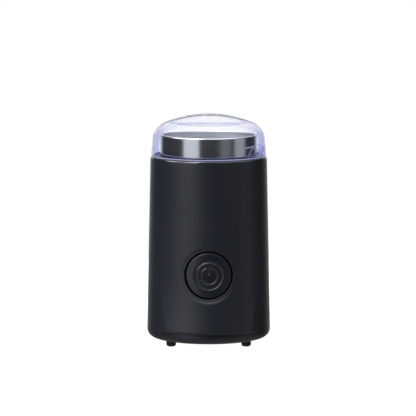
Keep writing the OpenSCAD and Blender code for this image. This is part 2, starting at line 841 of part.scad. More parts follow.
// The round mark: an open ring with a bar in its gap
module power_mark(h) {
    difference() {
        tube(mark_r + mark_w / 2, mark_r - mark_w / 2, h);
        block([-mark_gap / 2, 0, -over], [mark_gap / 2, 2 * mark_r, h + over]);
    }
    block([-mark_w / 2, 0.6, 0], [mark_w / 2, 0.6 + mark_bar, h]);
}

module button_cap() {
    color([0.17, 0.17, 0.19]) difference() {
        intersection() {
            along_button() translate([0, 0, cap_face - cap_skirt]) cylinder(r = button_r, h = button_front);
            sunk_shell(button_sink);
        }
        intersection() {
            along_button() cylinder(r = button_r - cap_skirt_t, h = button_front);
            sunk_shell(button_sink + cap_t);
        }
        along_button() translate([0, 0, cap_face - cap_skirt - over]) {
            cylinder(r = spring_seat_r, h = cap_skirt - cap_t + over);
            cylinder(r = spigot_r, h = cap_skirt - cap_t + spigot_l + 0.2 + over);
        }
        difference() {
            along_button() translate([0, 0, cap_face - cap_skirt])
                tube(ring_r + groove_w / 2, ring_r - groove_w / 2, button_front);
            sunk_shell(button_sink + groove_depth);
        }
        difference() {
            along_button() translate([0, 0, cap_face - cap_skirt]) power_mark(button_front);
            sunk_shell(button_sink + mark_depth);
        }
    }
}

module button_stem() {
    color([0.85, 0.85, 0.82]) along_button() difference() {
        union() {
            translate([0, 0, stem_end]) cylinder(r = stem_r, h = cap_face - cap_t - stem_end);
            translate([0, 0, cap_face - cap_t - 0.1]) cylinder(r = spigot_r, h = spigot_l + 0.1);
        }
        translate([0, 0, stem_end + 0.3]) tube(stem_r + over, stem_r - 0.8, clip_t);
    }
}

module button_clip() {
    color([0.6, 0.6, 0.62]) along_button() translate([0, 0, stem_end + 0.3]) difference() {
        tube(clip_r, stem_r - 0.8, clip_t);
        block([-2.4, -2 * clip_r, -over], [2.4, 0, clip_t + over]);
    }
}

module button_spring() {
    color([0.7, 0.7, 0.72]) along_button() translate([0, 0, well_floor + 0.1])
        spring(button_coil_r, button_wire_r, cap_face - cap_t - well_floor - 0.2, 4);
}

module switch_plunger() {
    color([0.8, 0.2, 0.15]) along_button()
        translate([0, 0, plunger_end]) cylinder(r = plunger_r, h = stem_end - plunger_end);
}

module main_switch() {
    color([0.12, 0.12, 0.14]) along_button() difference() {
        block([-switch_w / 2, -switch_h / 2, switch_back], [switch_w / 2, switch_h / 2, switch_front]);
        translate([0, 0, plunger_end - button_travel - play])
            cylinder(r = plunger_r + 0.1, h = switch_front - plunger_end + button_travel + over);
    }
    color([0.7, 0.6, 0.3]) along_button() for (x = [-terminal_x, terminal_x])
        block([x - terminal_w / 2, -switch_h / 2 - terminal_drop, switch_back + 1],
            [x + terminal_w / 2, -switch_h / 2 + 0.1, switch_back + 1 + terminal_t]);
}

module switch_carrier() {
    plate_back = well_back - carrier_plate_t;
    color([0.25, 0.25, 0.27]) along_button() difference() {
        union() {
            block([-switch_w / 2 - carrier_side_t, -switch_screw_at - carrier_edge, plate_back],
                [switch_w / 2 + carrier_side_t, switch_screw_at + carrier_edge, well_back]);
            for (side = [-1, 1]) {
                translate([side * (switch_w + carrier_side_t) / 2, 0, (switch_back + well_back) / 2])
                    cube([carrier_side_t, carrier_side_h, well_back - switch_back], center = true);
                translate([side * (switch_w / 2 - 0.5), 0, (switch_front + well_back) / 2])
                    cube([3, carrier_side_h, well_back - switch_front], center = true);
            }
        }
        translate([0, 0, plate_back - over]) cylinder(r = clip_r + play, h = carrier_plate_t + 2 * over);
        for (side = [-1, 1]) translate([0, side * switch_screw_at, plate_back - over])
            cylinder(r = screw_r + pin_fit, h = carrier_plate_t + 2 * over);
    }
}

module switch_screws() {
    color([0.6, 0.6, 0.62]) along_button() for (side = [-1, 1])
        translate([0, side * switch_screw_at, well_back - carrier_plate_t])
            screw(carrier_plate_t + well_floor_t + switch_thread);
}

// ---------- motor ----------

module bracket_plate(z) {
    block([-stator_w / 2, -stator_d / 2, z], [stator_w / 2, stator_d / 2, z + bracket_t]);
}

module at_columns(z) {
    for (x = [-column_x, column_x], y = [-column_y, column_y]) translate([x, y, z]) children();
}

module upper_bracket() {
    color([0.72, 0.72, 0.7]) difference() {
        union() {
            bracket_plate(upper_z);
            at_columns(stack_top) cylinder(r = column_r, h = upper_column + over);
            translate([0, 0, upper_z]) cylinder(r = bearing_r + pocket_wall, h = bearing_h);
        }
        translate([0, 0, upper_z - over]) cylinder(r = bearing_r, h = bearing_h + 2 * over);
        at_columns(stack_top - over) cylinder(r = motor_screw_r, h = upper_column - 1 + over);
        for (at = leg_at) translate([at[0], at[1], upper_z - over])
            cylinder(r = screw_r + pin_fit, h = bracket_t + 2 * over);
    }
}

module lower_bracket() {
    color([0.72, 0.72, 0.7]) difference() {
        union() {
            bracket_plate(lower_z);
            at_columns(lower_top - over) cylinder(r = column_r, h = lower_column + over);
            translate([0, 0, lower_top - bearing_h]) cylinder(r = bearing_r + pocket_wall, h = bearing_h);
        }
        translate([0, 0, lower_top - bearing_h - over]) cylinder(r = bearing_r, h = bearing_h + 2 * over);
        at_columns(lower_z - over)
            cylinder(r = motor_screw_r + pin_fit, h = bracket_t + lower_column + 2 * over);
        for (a = [90, 270]) around(bearing_r + 6.5, a, lower_z - over)
            cylinder(r = 2.5, h = bracket_t + 2 * over);
    }
}

module upper_bearing() {
    color([0.7, 0.55, 0.3]) translate([0, 0, upper_z]) tube(bearing_r, shaft_r + run_fit, bearing_h);
}

module lower_bearing() {
    color([0.7, 0.55, 0.3]) translate([0, 0, lower_top - bearing_h])
        tube(bearing_r, shaft_r + run_fit, bearing_h);
}

module retainer(z) {
    color([0.65, 0.65, 0.67]) translate([0, 0, z]) difference() {
        tube(bearing_r + pocket_wall - retainer_t, shaft_r + 2, retainer_t);
        for (a = [0:60:300]) around(bearing_r - 1, a, -over) cylinder(r = 0.9, h = retainer_t + 2 * over);
    }
}

module upper_retainer() { retainer(upper_z - retainer_t); }

module lower_retainer() { retainer(lower_top); }

module motor_mounts() {
    color([0.1, 0.1, 0.1]) for (at = leg_at) translate([at[0], at[1], upper_top])
        tube(mount_r, screw_r + pin_fit, mount_t);
}

module mount_screws() {
    color([0.6, 0.6, 0.62]) for (at = leg_at) translate([at[0], at[1], upper_z])
        screw(bracket_t + mount_t + min(leg_thread, bowl_z - leg_end - 2));
}

module motor_screws() {
    color([0.6, 0.6, 0.62]) at_columns(lower_z)
        screw(bracket_t + lower_column + stack_h + upper_column - 2, motor_screw_r);
}

module stator_stack() {
    color([0.5, 0.5, 0.52]) translate([0, 0, stack_z]) linear_extrude(height = stack_h) difference() {
        square([stator_w, stator_d], center = true);
        circle(r = bore_r);
        for (x = [-1, 1], y = [-1, 1]) difference() {
            translate([x * (window_x + 6) / 2, y * (window_y + neck_y) / 2])
                square([window_x - 6, window_y - neck_y], center = true);
            circle(r = pole_r);
        }
        for (y = [-1, 1]) translate([0, y * (bore_r + 0.4)]) square([6, 3], center = true);
        for (x = [-column_x, column_x], y = [-column_y, column_y])
            translate([x, y]) circle(r = motor_screw_r + pin_fit);
    }
}

// A rectangular ring round a pole, from a depth in to a depth out
module pole_ring(half_y, half_z, hole_y, hole_z, from, to) {
    for (side = [-1, 1]) translate([side * (from + to) / 2, 0, stack_z + stack_h / 2]) difference() {
        cube([to - from, 2 * half_y, 2 * half_z], center = true);
        cube([to - from + 2 * over, 2 * hole_y, 2 * hole_z], center = true);
    }
}

module coil_bobbins() {
    color([0.9, 0.88, 0.8])
        pole_ring(neck_y + bobbin_t, stack_h / 2 + bobbin_t, neck_y, stack_h / 2, coil_in_x, coil_out_x);
}

module field_coils() {
    color([0.72, 0.4, 0.2])
        pole_ring(coil_out_y, stack_h / 2 + coil_end, neck_y + bobbin_t, stack_h / 2 + bobbin_t,
            coil_in_x + bobbin_lip, coil_out_x - bobbin_lip);
}

module each_brush() {
    for (side = [0, 180]) rotate([0, 0, side]) children();
}

module brush_holders() {
    color([0.3, 0.2, 0.12]) each_brush() difference() {
        block([holder_in, -holder_y / 2, lower_top], [holder_out, holder_y / 2, holder_top]);
        block([holder_in - over, -brush_y / 2 - brush_fit, brush_z - brush_h / 2 - brush_fit],
            [holder_out + over, brush_y / 2 + brush_fit, brush_z + brush_h / 2 + brush_fit]);
    }
}

module carbon_brushes() {
    color([0.2, 0.2, 0.2]) each_brush() block([comm_r + brush_gap, -brush_y / 2, brush_z - brush_h / 2],
        [comm_r + brush_gap + brush_len, brush_y / 2, brush_z + brush_h / 2]);
}

module brush_springs() {
    start = comm_r + brush_gap + brush_len + 0.1;
    color([0.7, 0.7, 0.72]) each_brush() translate([start, 0, brush_z]) rotate([0, 90, 0])
        spring(brush_coil_r, brush_wire_r, holder_out - brush_cap_plug - 0.1 - start, 5);
}

module brush_caps() {
    color([0.75, 0.65, 0.35]) each_brush() {
        block([holder_out - brush_cap_plug, -brush_y / 2, brush_z - brush_h / 2],
            [holder_out + over, brush_y / 2, brush_z + brush_h / 2]);
        block([holder_out, -holder_y / 2 + 1, brush_z - 4],
            [holder_out + brush_cap_t, holder_y / 2 - 1, brush_z + 4]);
    }
}

module motor_shaft() {
    color([0.7, 0.7, 0.72]) {
        translate([0, 0, shaft_end]) cylinder(r = shaft_r, h = blade_z - shaft_end);
        translate([0, 0, blade_z - over]) cylinder(r = tip_r, h = over + blade_t + nut_top - 1);
    }
}

module rotor_stack() {
    rotor_slot_r = 1.5;
    slot_mouth = 0.9;
    color([0.5, 0.5, 0.52]) translate([0, 0, stack_z]) linear_extrude(height = stack_h) difference() {
        circle(r = rotor_r);
        circle(r = shaft_r);
        for (i = [0:slot_count - 1]) rotate([0, 0, 360 * i / slot_count])
            translate([rotor_r - rotor_slot_r - 1.1, 0]) {
                circle(r = rotor_slot_r, $fn = 24);
                translate([rotor_slot_r, 0]) square([2 * rotor_slot_r, slot_mouth], center = true);
            }
    }
}

module rotor_windings() {
    inner = shaft_r + 1.2;
    soft = 1.5;
    color([0.72, 0.4, 0.2]) for (z = [stack_z - winding_h, stack_top]) translate([0, 0, z])
        rotate_extrude() polygon([[inner, 1], [inner + 1, 0], [winding_r - soft, 0], [winding_r, soft],
            [winding_r, winding_h - soft], [winding_r - soft, winding_h], [inner + 1, winding_h],
            [inner, winding_h - 1]]);
}

module commutator() {
    undercut = 0.5;
    riser_h = 2;
    color([0.75, 0.5, 0.3]) translate([0, 0, comm_z]) difference() {
        tube(comm_r, shaft_r, comm_h);
        for (i = [0:slot_count - 1]) rotate([0, 0, 360 * i / slot_count])
            block([comm_r - undercut, -undercut / 2, -over], [comm_r + over, undercut / 2, comm_h - riser_h]);
    }
}

module cooling_fan() {
    vanes = 10;
    vane_t = 1.2;
    disc_t = 1.5;
    boss_wall = 3;
    color([0.88, 0.88, 0.85]) translate([0, 0, fan_z]) difference() {
        union() {
            cylinder(r = shaft_r + boss_wall, h = fan_h);
            translate([0, 0, fan_h - disc_t]) cylinder(r = fan_r, h = disc_t);
            for (i = [0:vanes - 1]) rotate([0, 0, 360 * i / vanes])
                block([shaft_r + boss_wall - over, -vane_t / 2, 0], [fan_r - 1, vane_t / 2, fan_h - 1]);
        }
        translate([0, 0, -over]) cylinder(r = shaft_r, h = fan_h + 2 * over);
    }
}

module blade_hub() {
    color([0.2, 0.2, 0.22]) translate([0, 0, hub_z]) tube(hub_r, shaft_r, hub_h);
}

module blade() {
    bend_at = blade_len / 2 * blade_bend;
    tip_len = blade_len / 2 - bend_at;
    end_w = blade_w * 0.7;
    color([0.78, 0.78, 0.8]) translate([0, 0, blade_z]) difference() {
        union() {
            cylinder(r = hub_r, h = blade_t);
            for (a = [0, 180]) rotate([0, 0, a]) {
                linear_extrude(height = blade_t) polygon([[0, -blade_w / 2], [bend_at, -end_w / 2],
                    [bend_at, end_w / 2], [0, blade_w / 2]]);
                translate([bend_at, 0, 0]) rotate([0, -tip_angle, 0]) linear_extrude(height = blade_t)
                    polygon([[-0.4, -end_w / 2], [tip_len, -end_w / 4],
                        [tip_len, end_w / 2 - 1], [-0.4, end_w / 2]]);
            }
        }
        translate([0, 0, -over]) cylinder(r = tip_r, h = blade_t + 2 * over);
    }
}

module blade_nut() {
    nut_half = 5.5;
    nut_round = 3;
    flat_at = 4.4;
    flat_z = 0.8;
    color([0.7, 0.7, 0.72]) translate([0, 0, blade_z + blade_t]) difference() {
        rotate_extrude() polygon(concat([[0, 0], [nut_half, 0]],
            arc(nut_half - nut_round, nut_top - nut_round, nut_round, 0, 90, 5), [[0, nut_top]]));
        translate([0, 0, -over]) cylinder(r = tip_r, h = nut_top - 1 + over);
        for (a = [0, 180]) rotate([0, 0, a])
            block([flat_at, -nut_half - over, flat_z], [nut_half + over, nut_half + over, nut_top + over]);
    }
}

// ---------- cord inlet and wiring ----------

module cord_gland() {
    seat = shell_r(inlet_z - flange_r) + 0.05;
    inner_seat = sqrt(pow(inner_r(inlet_z), 2) - pow(flange_r - 1, 2)) - 0.1;
    color([0.12, 0.12, 0.13]) translate([0, 0, inlet_z]) rotate([-90, 0, 0]) difference() {
        union() {
            translate([0, 0, inner_seat - gland_lip_t])
                cylinder(r = inlet_r + inlet_wall, h = chin_r - inner_seat + gland_lip_t);
            translate([0, 0, inner_seat - gland_lip_t]) cylinder(r = flange_r - 1, h = gland_lip_t);
            translate([0, 0, seat]) cylinder(r = flange_r, h = chin_r - seat);
        }
        translate([0, 0, inner_seat - gland_lip_t - over]) cylinder(r = inlet_r, h = base_r);
    }
}

module cord_clamp() {
    color([0.25, 0.25, 0.27]) difference() {
        block([-clamp_w / 2, clamp_y, inlet_z], [clamp_w / 2, clamp_y + clamp_d, inlet_z + clamp_h]);
        translate([0, clamp_y - over, inlet_z]) rotate([-90, 0, 0])
            cylinder(r = clamp_groove_r, h = clamp_d + 2 * over);
        for (x = [-clamp_screw_x, clamp_screw_x]) translate([x, clamp_y + clamp_d / 2, inlet_z - over])
            cylinder(r = screw_r + pin_fit, h = clamp_h + 2 * over);
    }
}

module clamp_screws() {
    color([0.6, 0.6, 0.62]) for (x = [-clamp_screw_x, clamp_screw_x])
        translate([x, clamp_y + clamp_d / 2, inlet_z + clamp_h]) rotate([180, 0, 0])
        screw(clamp_h + clamp_thread);
}

module terminal_block() {
    color([0.92, 0.92, 0.9]) difference() {
        block([-block_w / 2, pad_y - block_d, block_z], [block_w / 2, pad_y, block_z + block_h]);
        translate([0, pad_y - block_d - over, block_z + block_h / 2]) rotate([-90, 0, 0]) {
            for (x = [-block_screw_x, block_screw_x])
                translate([x, 0]) cylinder(r = screw_r + pin_fit, h = block_d + 2 * over);
            for (x = [-wire_hole_x, wire_hole_x]) translate([x, 0]) cylinder(r = wire_hole_r, h = block_d / 2);
        }
    }
}

module terminal_screws() {
    color([0.6, 0.6, 0.62]) for (x = [-block_screw_x, block_screw_x])
        translate([x, pad_y - block_d, block_z + block_h / 2]) rotate([-90, 0, 0])
        screw(block_d + block_thread);
}

module capacitor() {
    color([0.8, 0.65, 0.15]) block([-cap_box_w / 2, pad_y - cap_box_d, cap_box_z],
        [cap_box_w / 2, pad_y, cap_box_z + cap_box_h]);
}

module thermal_cutout() {
    color([0.85, 0.85, 0.85]) rotate([0, 90, 0])
        translate([-stack_z - stack_h / 2, stator_d / 2 + cutout_r + 0.05, -cutout_len / 2])
        cylinder(r = cutout_r, h = cutout_len);
}

module leads() {
    color([0.15, 0.3, 0.6]) for (through = LEADS) lead(through);
}

housing();
base_cover();
feet();
base_screws();
bowl_carrier();
carrier_screws();
grinding_bowl();
bowl_bush();
bowl_nut();
shaft_seal();
lid();
interlock_pin();
interlock_spring();
interlock_switch();
interlock_screws();
button_cap();
button_stem();
button_clip();
button_spring();
switch_plunger();
main_switch();
switch_carrier();
switch_screws();
upper_bracket();
lower_bracket();
upper_bearing();
lower_bearing();
upper_retainer();
lower_retainer();
motor_mounts();
mount_screws();
motor_screws();
stator_stack();
coil_bobbins();
field_coils();
brush_holders();
carbon_brushes();
brush_springs();
brush_caps();
motor_shaft();
rotor_stack();
rotor_windings();
commutator();
cooling_fan();
blade_hub();
blade();
blade_nut();
cord_gland();
cord_clamp();
clamp_screws();
terminal_block();
terminal_screws();
capacitor();
thermal_cutout();
leads();
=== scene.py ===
import json
from math import acos, asin, atan2, cos, hypot, pi, radians, sin, sqrt

import bmesh
import bpy
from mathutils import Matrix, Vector


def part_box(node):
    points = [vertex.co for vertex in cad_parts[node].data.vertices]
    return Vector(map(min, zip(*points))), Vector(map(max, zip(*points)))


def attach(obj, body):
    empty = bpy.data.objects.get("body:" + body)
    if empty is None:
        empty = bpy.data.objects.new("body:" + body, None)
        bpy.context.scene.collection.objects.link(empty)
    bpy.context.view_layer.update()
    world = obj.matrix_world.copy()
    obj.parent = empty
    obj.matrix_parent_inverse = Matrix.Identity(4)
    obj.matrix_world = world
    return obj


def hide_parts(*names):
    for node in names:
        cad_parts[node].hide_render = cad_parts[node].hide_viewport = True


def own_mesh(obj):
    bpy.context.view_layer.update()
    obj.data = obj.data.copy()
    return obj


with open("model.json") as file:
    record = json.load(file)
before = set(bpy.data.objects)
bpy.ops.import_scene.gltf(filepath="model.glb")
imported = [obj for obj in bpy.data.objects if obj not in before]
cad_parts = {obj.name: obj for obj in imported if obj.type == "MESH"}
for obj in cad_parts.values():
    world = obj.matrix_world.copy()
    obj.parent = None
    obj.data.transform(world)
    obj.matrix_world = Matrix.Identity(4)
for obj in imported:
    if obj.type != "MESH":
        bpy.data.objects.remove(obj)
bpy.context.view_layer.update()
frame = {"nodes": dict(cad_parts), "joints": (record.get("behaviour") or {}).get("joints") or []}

# The camera: a long lens some two metres in front of the grinder, a little above its lid and looking
# slightly down on it.
camera_from = Vector((0.0, -2.19, 0.37))
camera_at = Vector((-0.0005, 0.0, 0.1006))
frame_width = 0.310
camera_data = bpy.data.cameras.new("camera")
camera = bpy.data.objects.new("camera", camera_data)
bpy.context.scene.collection.objects.link(camera)
camera.location = camera_from
camera.rotation_euler = (camera_at - camera_from).to_track_quat("-Z", "Y").to_euler()
camera_data.sensor_width = 36
camera_data.lens = camera_data.sensor_width * (camera_at - camera_from).length / frame_width
camera_data.clip_start = 0.05
camera_data.clip_end = 50
bpy.context.scene.camera = camera
bpy.context.scene.view_settings.view_transform = "Standard"


# The studio light: a tall soft box on the left, brightest at its top, with a small key light beside it, two
# weaker panels on the right, white walls behind the grinder, a darker room in front of it, and light off the
# table from below. Seen directly, and through clear walls, the room is white.
class Wire:
    """An output of a shader node. Operators between wires and numbers add Math nodes."""

    def __init__(self, tree, port=None):
        self.tree = tree
        self.port = port

    def node(self, kind, settings=None, values=None, out=0):
        """Adds a node: first its settings, then the values or links of its sockets."""
        made = self.tree.nodes.new(kind)
        for name, value in (settings or {}).items():
            setattr(made, name, value)
        for socket, value in (values or {}).items():
            if isinstance(value, Wire):
                self.tree.links.new(value.port, made.inputs[socket])
            else:
                made.inputs[socket].default_value = value
        if isinstance(out, tuple):
            return [Wire(self.tree, made.outputs[name]) for name in out]
        return Wire(self.tree, made.outputs[out]) if len(made.outputs) else None

    def maths(self, operation, first, second=0.0):
        """Adds a Math node."""
        return self.node("ShaderNodeMath", {"operation": operation}, {0: first, 1: second})

    def __add__(self, other):
        return self.maths("ADD", self, other)

    def __radd__(self, other):
        return self.maths("ADD", other, self)

    def __sub__(self, other):
        return self.maths("SUBTRACT", self, other)

    def __rsub__(self, other):
        return self.maths("SUBTRACT", other, self)

    def __mul__(self, other):
        return self.maths("MULTIPLY", self, other)

    def __rmul__(self, other):
        return self.maths("MULTIPLY", other, self)

    def step(self, low, high):
        """0 below low, 1 above high, and a soft step between them."""
        return self.node("ShaderNodeMapRange", {"interpolation_type": "SMOOTHSTEP"},
                         {"Value": self, "From Min": low, "From Max": high})


def light_panel(turn, rise, left, right, low, high, soft):
    """A soft-edged panel between two directions round the grinder and two heights, in degrees."""
    across = turn.step(radians(left - soft), radians(left + soft)) * (
        1 - turn.step(radians(right - soft), radians(right + soft)))
    upright = rise.step(radians(low - soft), radians(low + soft)) * (
        1 - rise.step(radians(high - soft), radians(high + soft)))
    return across * upright


world = bpy.data.worlds.new("studio")
world.use_nodes = True
world.node_tree.nodes.clear()
bpy.context.scene.world = world
room = Wire(world.node_tree)
way = room.node("ShaderNodeTexCoord", out="Generated")
way_x, way_y, way_z = room.node("ShaderNodeSeparateXYZ", None, {0: way}, ("X", "Y", "Z"))
turn = room.maths("ARCTAN2", way_x, 0 - way_y)
rise = room.maths("ARCSINE", way_z)
upwards = rise.step(radians(-8), radians(22))
bright_top = 3.8 * rise.step(radians(28), radians(50))
box_shape = light_panel(turn, rise, left=-62, right=-23, low=-40, high=80, soft=3)
soft_box = (0.78 + 0.8 * upwards + bright_top) * box_shape
key_light = 4.5 * light_panel(turn, rise, left=-98, right=-70, low=18, high=44, soft=6)
panel_shape = light_panel(turn, rise, left=27, right=54, low=-40, high=60, soft=8)
right_panel = (0.14 + 0.08 * upwards) * panel_shape
right_card = 0.38 * light_panel(turn, rise, left=64, right=95, low=-40, high=60, soft=6)
above_table = rise.step(radians(-26), radians(-12))
back_wall = 0.95 * above_table * room.maths("ABSOLUTE", turn).step(radians(134), radians(166))
ceiling = 1.15 * rise.step(radians(20), radians(60))
table_glow = 0.36 * (1 - rise.step(radians(-50), radians(-15)))
dark_room = 0.03
glow = dark_room + soft_box + key_light + right_panel + right_card + back_wall + ceiling + table_glow
around_light = room.node("ShaderNodeBackground", None, {"Color": (1, 1, 1, 1), "Strength": glow})
white_room = room.node("ShaderNodeBackground", None, {"Color": (1, 1, 1, 1), "Strength": 1.0})
seen, passed, mirrored = room.node(
    "ShaderNodeLightPath", out=("Is Camera Ray", "Is Transmission Ray", "Glossy Depth"))
straight = room.maths("MAXIMUM", seen, passed * (1 - room.maths("MINIMUM", mirrored, 1.0)))
studio = room.node("ShaderNodeMixShader", None, {0: straight, 1: around_light, 2: white_room})
room.node("ShaderNodeOutputWorld", None, {"Surface": studio})


# The floor: a round table top, painted white. It glows as brightly as the white room, so that it runs into
# it without an edge, and it throws no light on the grinder.
def new_finish(name):
    """An empty material and the wire that its nodes are added from."""
    finish = bpy.data.materials.new(name)
    finish.use_nodes = True
    finish.node_tree.nodes.clear()
    return finish, Wire(finish.node_tree)


def close_finish(wire, sockets, **others):
    """Ends a material with a shader that has these sockets."""
    shader = wire.node("ShaderNodeBsdfPrincipled", None, sockets)
    wire.node("ShaderNodeOutputMaterial", None, {"Surface": shader, **others})


table_r = 0.45
table_form = bmesh.new()
bmesh.ops.create_circle(table_form, cap_ends=True, segments=96, radius=table_r)
table_mesh = bpy.data.meshes.new("table_top")
table_form.to_mesh(table_mesh)
table_form.free()
table = bpy.data.objects.new("table_top", table_mesh)
bpy.context.scene.collection.objects.link(table)
table_finish, wire = new_finish("white_table")
close_finish(wire, {"Base Color": (0.25, 0.25, 0.25, 1), "Roughness": 0.6,
                    "Emission Color": (1, 1, 1, 1), "Emission Strength": 1.0})
table_mesh.materials.append(table_finish)
table.visible_glossy = False
table.visible_diffuse = False


# The housing: one black ABS moulding with a fine satin grain. It tapers upwards, flares into a chin at
# the front, and has a round well for the button. Posts and pads for the inner parts stand inside it.
def blend_colour(wire, share, first, second):
    """The first colour where share is 0, the second where it is 1."""
    return wire.node("ShaderNodeMix", {"data_type": "RGBA"}, {0: share, 6: first, 7: second}, 2)


def mottling(wire, place, scale, detail, roughness=0.5, distortion=0.0):
    """Cloudy noise, of about that many clouds to the metre."""
    return wire.node("ShaderNodeTexNoise", None, {
        "Vector": place, "Scale": scale, "Detail": detail, "Roughness": roughness, "Distortion": distortion})


def relief(wire, shape, height):
    """Fine relief of a surface, that high in metres where its shape is 1."""
    return wire.node("ShaderNodeBump", None, {"Strength": 1.0, "Distance": height, "Height": shape})


def moulded_plastic(name, colour, pale, roughness, grain=0.00022, height=0.00001, **sockets):
    """Moulded plastic: a fine eroded grain, faint flow clouds in its colour and handled, smoother places."""
    finish, wire = new_finish(name)
    place = wire.node("ShaderNodeTexCoord", out="Object")
    clouds = mottling(wire, place, 45, 3, 0.55)
    handled = mottling(wire, place, 16, 4, 0.6).step(0.35, 0.7)
    pits = mottling(wire, place, 1 / grain, 2)
    close_finish(wire, {
        "Base Color": blend_colour(wire, clouds.step(0.3, 0.7), (*colour, 1), (*pale, 1)),
        "Roughness": roughness - 0.05 * handled + 0.05 * pits,
        "Normal": relief(wire, pits, height), **sockets})
    return finish


def dress(finish, *names):
    """Gives CAD nodes a finish."""
    for name in names:
        mesh = frame["nodes"][name].data
        mesh.materials.clear()
        mesh.materials.append(finish)


body_black = (0.0125, 0.0130, 0.0205)
body_pale = (0.0145, 0.0150, 0.0230)
satin_black = moulded_plastic("satin_black", body_black, body_pale, 0.42)

mm = 0.001
shell_low, shell_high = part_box("housing")
rib_h = 0.9 * mm
wall = 2.4 * mm
foot_round = 6 * mm
top_round = 1.6 * mm
top_r = 43.3 * mm
foot_edge_z = shell_low.z
deck_z = shell_high.z - rib_h
belly_r = shell_high.x
belly_z = foot_edge_z + foot_round
taper = (belly_r - top_r) / (deck_z - top_round - belly_z)
chin_z = foot_edge_z + 9.5 * mm
chin_r = -shell_low.y
chin_round = 1.5 * mm
chin_end = radians(75)
chin_under_h = 1.4 * mm
chin_under_r = belly_r - 4 * mm
chin_under_z = chin_z - chin_round - chin_under_h
flare_h = 46 * mm
flare_start = 0.2 * mm
facet_angle = radians(62)
facet_sink = 0.3 * mm
facet_crease = 0.5 * mm
shell_crease = 0.3 * mm
button_z = foot_edge_z + 51.5 * mm
well_r = 17.8 * mm
dish_depth = 0.5 * mm
dish_in = 18.6 * mm
dish_out = 21.4 * mm


def shell_r(z):
    """Radius of the plain tapered shell."""
    return belly_r - taper * (z - belly_z)


def soft_most(first, second, round_off):
    """The larger of two sizes, with the corner between them rounded off."""
    near = max(round_off - abs(first - second), 0)
    return max(first, second) + near * near / (4 * round_off)


def panel_r(z):
    """Radius of the front panel's flare, of its rounded chin and of the chin's underside."""
    chin_foot_z = chin_z - chin_round * sin(chin_end)
    chin_foot_r = chin_r - chin_round * (1 - cos(chin_end))
    if not chin_under_z < z < chin_z + flare_h:
        return 0
    if z >= chin_z:
        down = 1 - (z - chin_z) / flare_h
        return shell_r(z) - flare_start + (chin_r - shell_r(chin_z) + flare_start) * down * down
    if z >= chin_foot_z:
        return chin_r - chin_round + sqrt(chin_round ** 2 - (chin_z - z) ** 2)
    return chin_under_r + (chin_foot_r - chin_under_r) * (z - chin_under_z) / (chin_foot_z - chin_under_z)


def skin_r(turn, z):
    """Radius of the housing's outside at an angle from the front."""
    if z >= belly_z:
        bare = shell_r(z)
    else:
        bare = belly_r - foot_round + sqrt(max(foot_round ** 2 - (belly_z - z) ** 2, 0))
    facet = (shell_r(z) - facet_sink) / cos(min(abs(turn), facet_angle) - facet_angle)
    panel = -soft_most(-panel_r(z), -facet, facet_crease)
    return soft_most(bare, panel, shell_crease)


def inner_r(z):
    """Radius of the housing's inside."""
    if z >= belly_z:
        return shell_r(z) - wall
    return belly_r - foot_round + sqrt(max((foot_round - wall) ** 2 - (belly_z - z) ** 2, 0))


def smooth(share):
    """A soft step from 0 to 1."""
    share = min(max(share, 0), 1)
    return share * share * (3 - 2 * share)


def on_skin(x, z, drop=0.0, side=-1):
    """The point of the housing's outside at x and z, on its front or its back, lowered into the wall."""
    far = belly_r
    for _ in range(4):
        far = skin_r(asin(x / far) if side < 0 else pi, z)
    if side < 0:
        share = smooth((hypot(x, z - button_z) - dish_in) / (dish_out - dish_in))
        recess = shell_r(z) - dish_depth
        far = recess + (far - recess) * share
    return Vector((x, side * (sqrt(far * far - x * x) - drop), z))


def inside_skin(x, z, side=-1):
    """The point of the housing's inside at x and z."""
    return Vector((x, side * sqrt(inner_r(z) ** 2 - x * x), z))


def at_turn(turn, far, z):
    """A point at an angle from the front, a distance from the axis and a height."""
    return Vector((far * sin(turn), -far * cos(turn), z))


def steps_between(first, last, count):
    """Evenly spaced values after the first one, up to the last one."""
    return [first + (last - first) * i / count for i in range(1, count + 1)]


def lay_rows(form, rows, gaps=(), closed=False):
    """Joins rings of points round an axis with quads, leaving out the cells of the gaps."""
    grid = [[form.verts.new(point) for point in row] for row in rows]
    across = len(rows[0])
    for i in range(len(rows) if closed else len(rows) - 1):
        low = (i + 1) % len(rows)
        for j in range(across):
            if any(top <= i < end and left <= j < right for top, end, left, right in gaps):
                continue
            following = (j + 1) % across
            form.faces.new((grid[i][j], grid[i][following], grid[low][following], grid[low][j]))
    return grid


def gap_rim(grid, gap):
    """The vertices round a gap, in order."""
    top, low, left, right = gap
    return ([grid[top][j] for j in range(left, right)] + [grid[i][right] for i in range(top, low)]
            + [grid[low][j] for j in range(right, left, -1)] + [grid[i][left] for i in range(low, top, -1)])


def join_loops(form, first, second):
    """Joins two loops of the same count with quads."""
    for n in range(len(first)):
        form.faces.new((first[n], first[n - 1], second[n - 1], second[n]))


def lay_rings(form, loop, rings):
    """Carries a loop of vertices on through rings of points and returns the last one."""
    for points in rings:
        following = [form.verts.new(point) for point in points]
        join_loops(form, loop, following)
        loop = following
    return loop


def round_hole(form, rim, middle, radii, place):
    """Rings from a gap's rim to a round hole: each has a radius, its share of roundness and its depth."""
    at = [(vertex.co.x - middle[0], vertex.co.z - middle[1]) for vertex in rim]
    angles = [atan2(z, x) for x, z in at]
    rings = []
    for far, roundness, drop in radii:
        rings.append([place(middle[0] + x + (far * cos(a) - x) * roundness,
                            middle[1] + z + (far * sin(a) - z) * roundness, drop)
                      for (x, z), a in zip(at, angles)])
    return lay_rings(form, rim, rings), angles


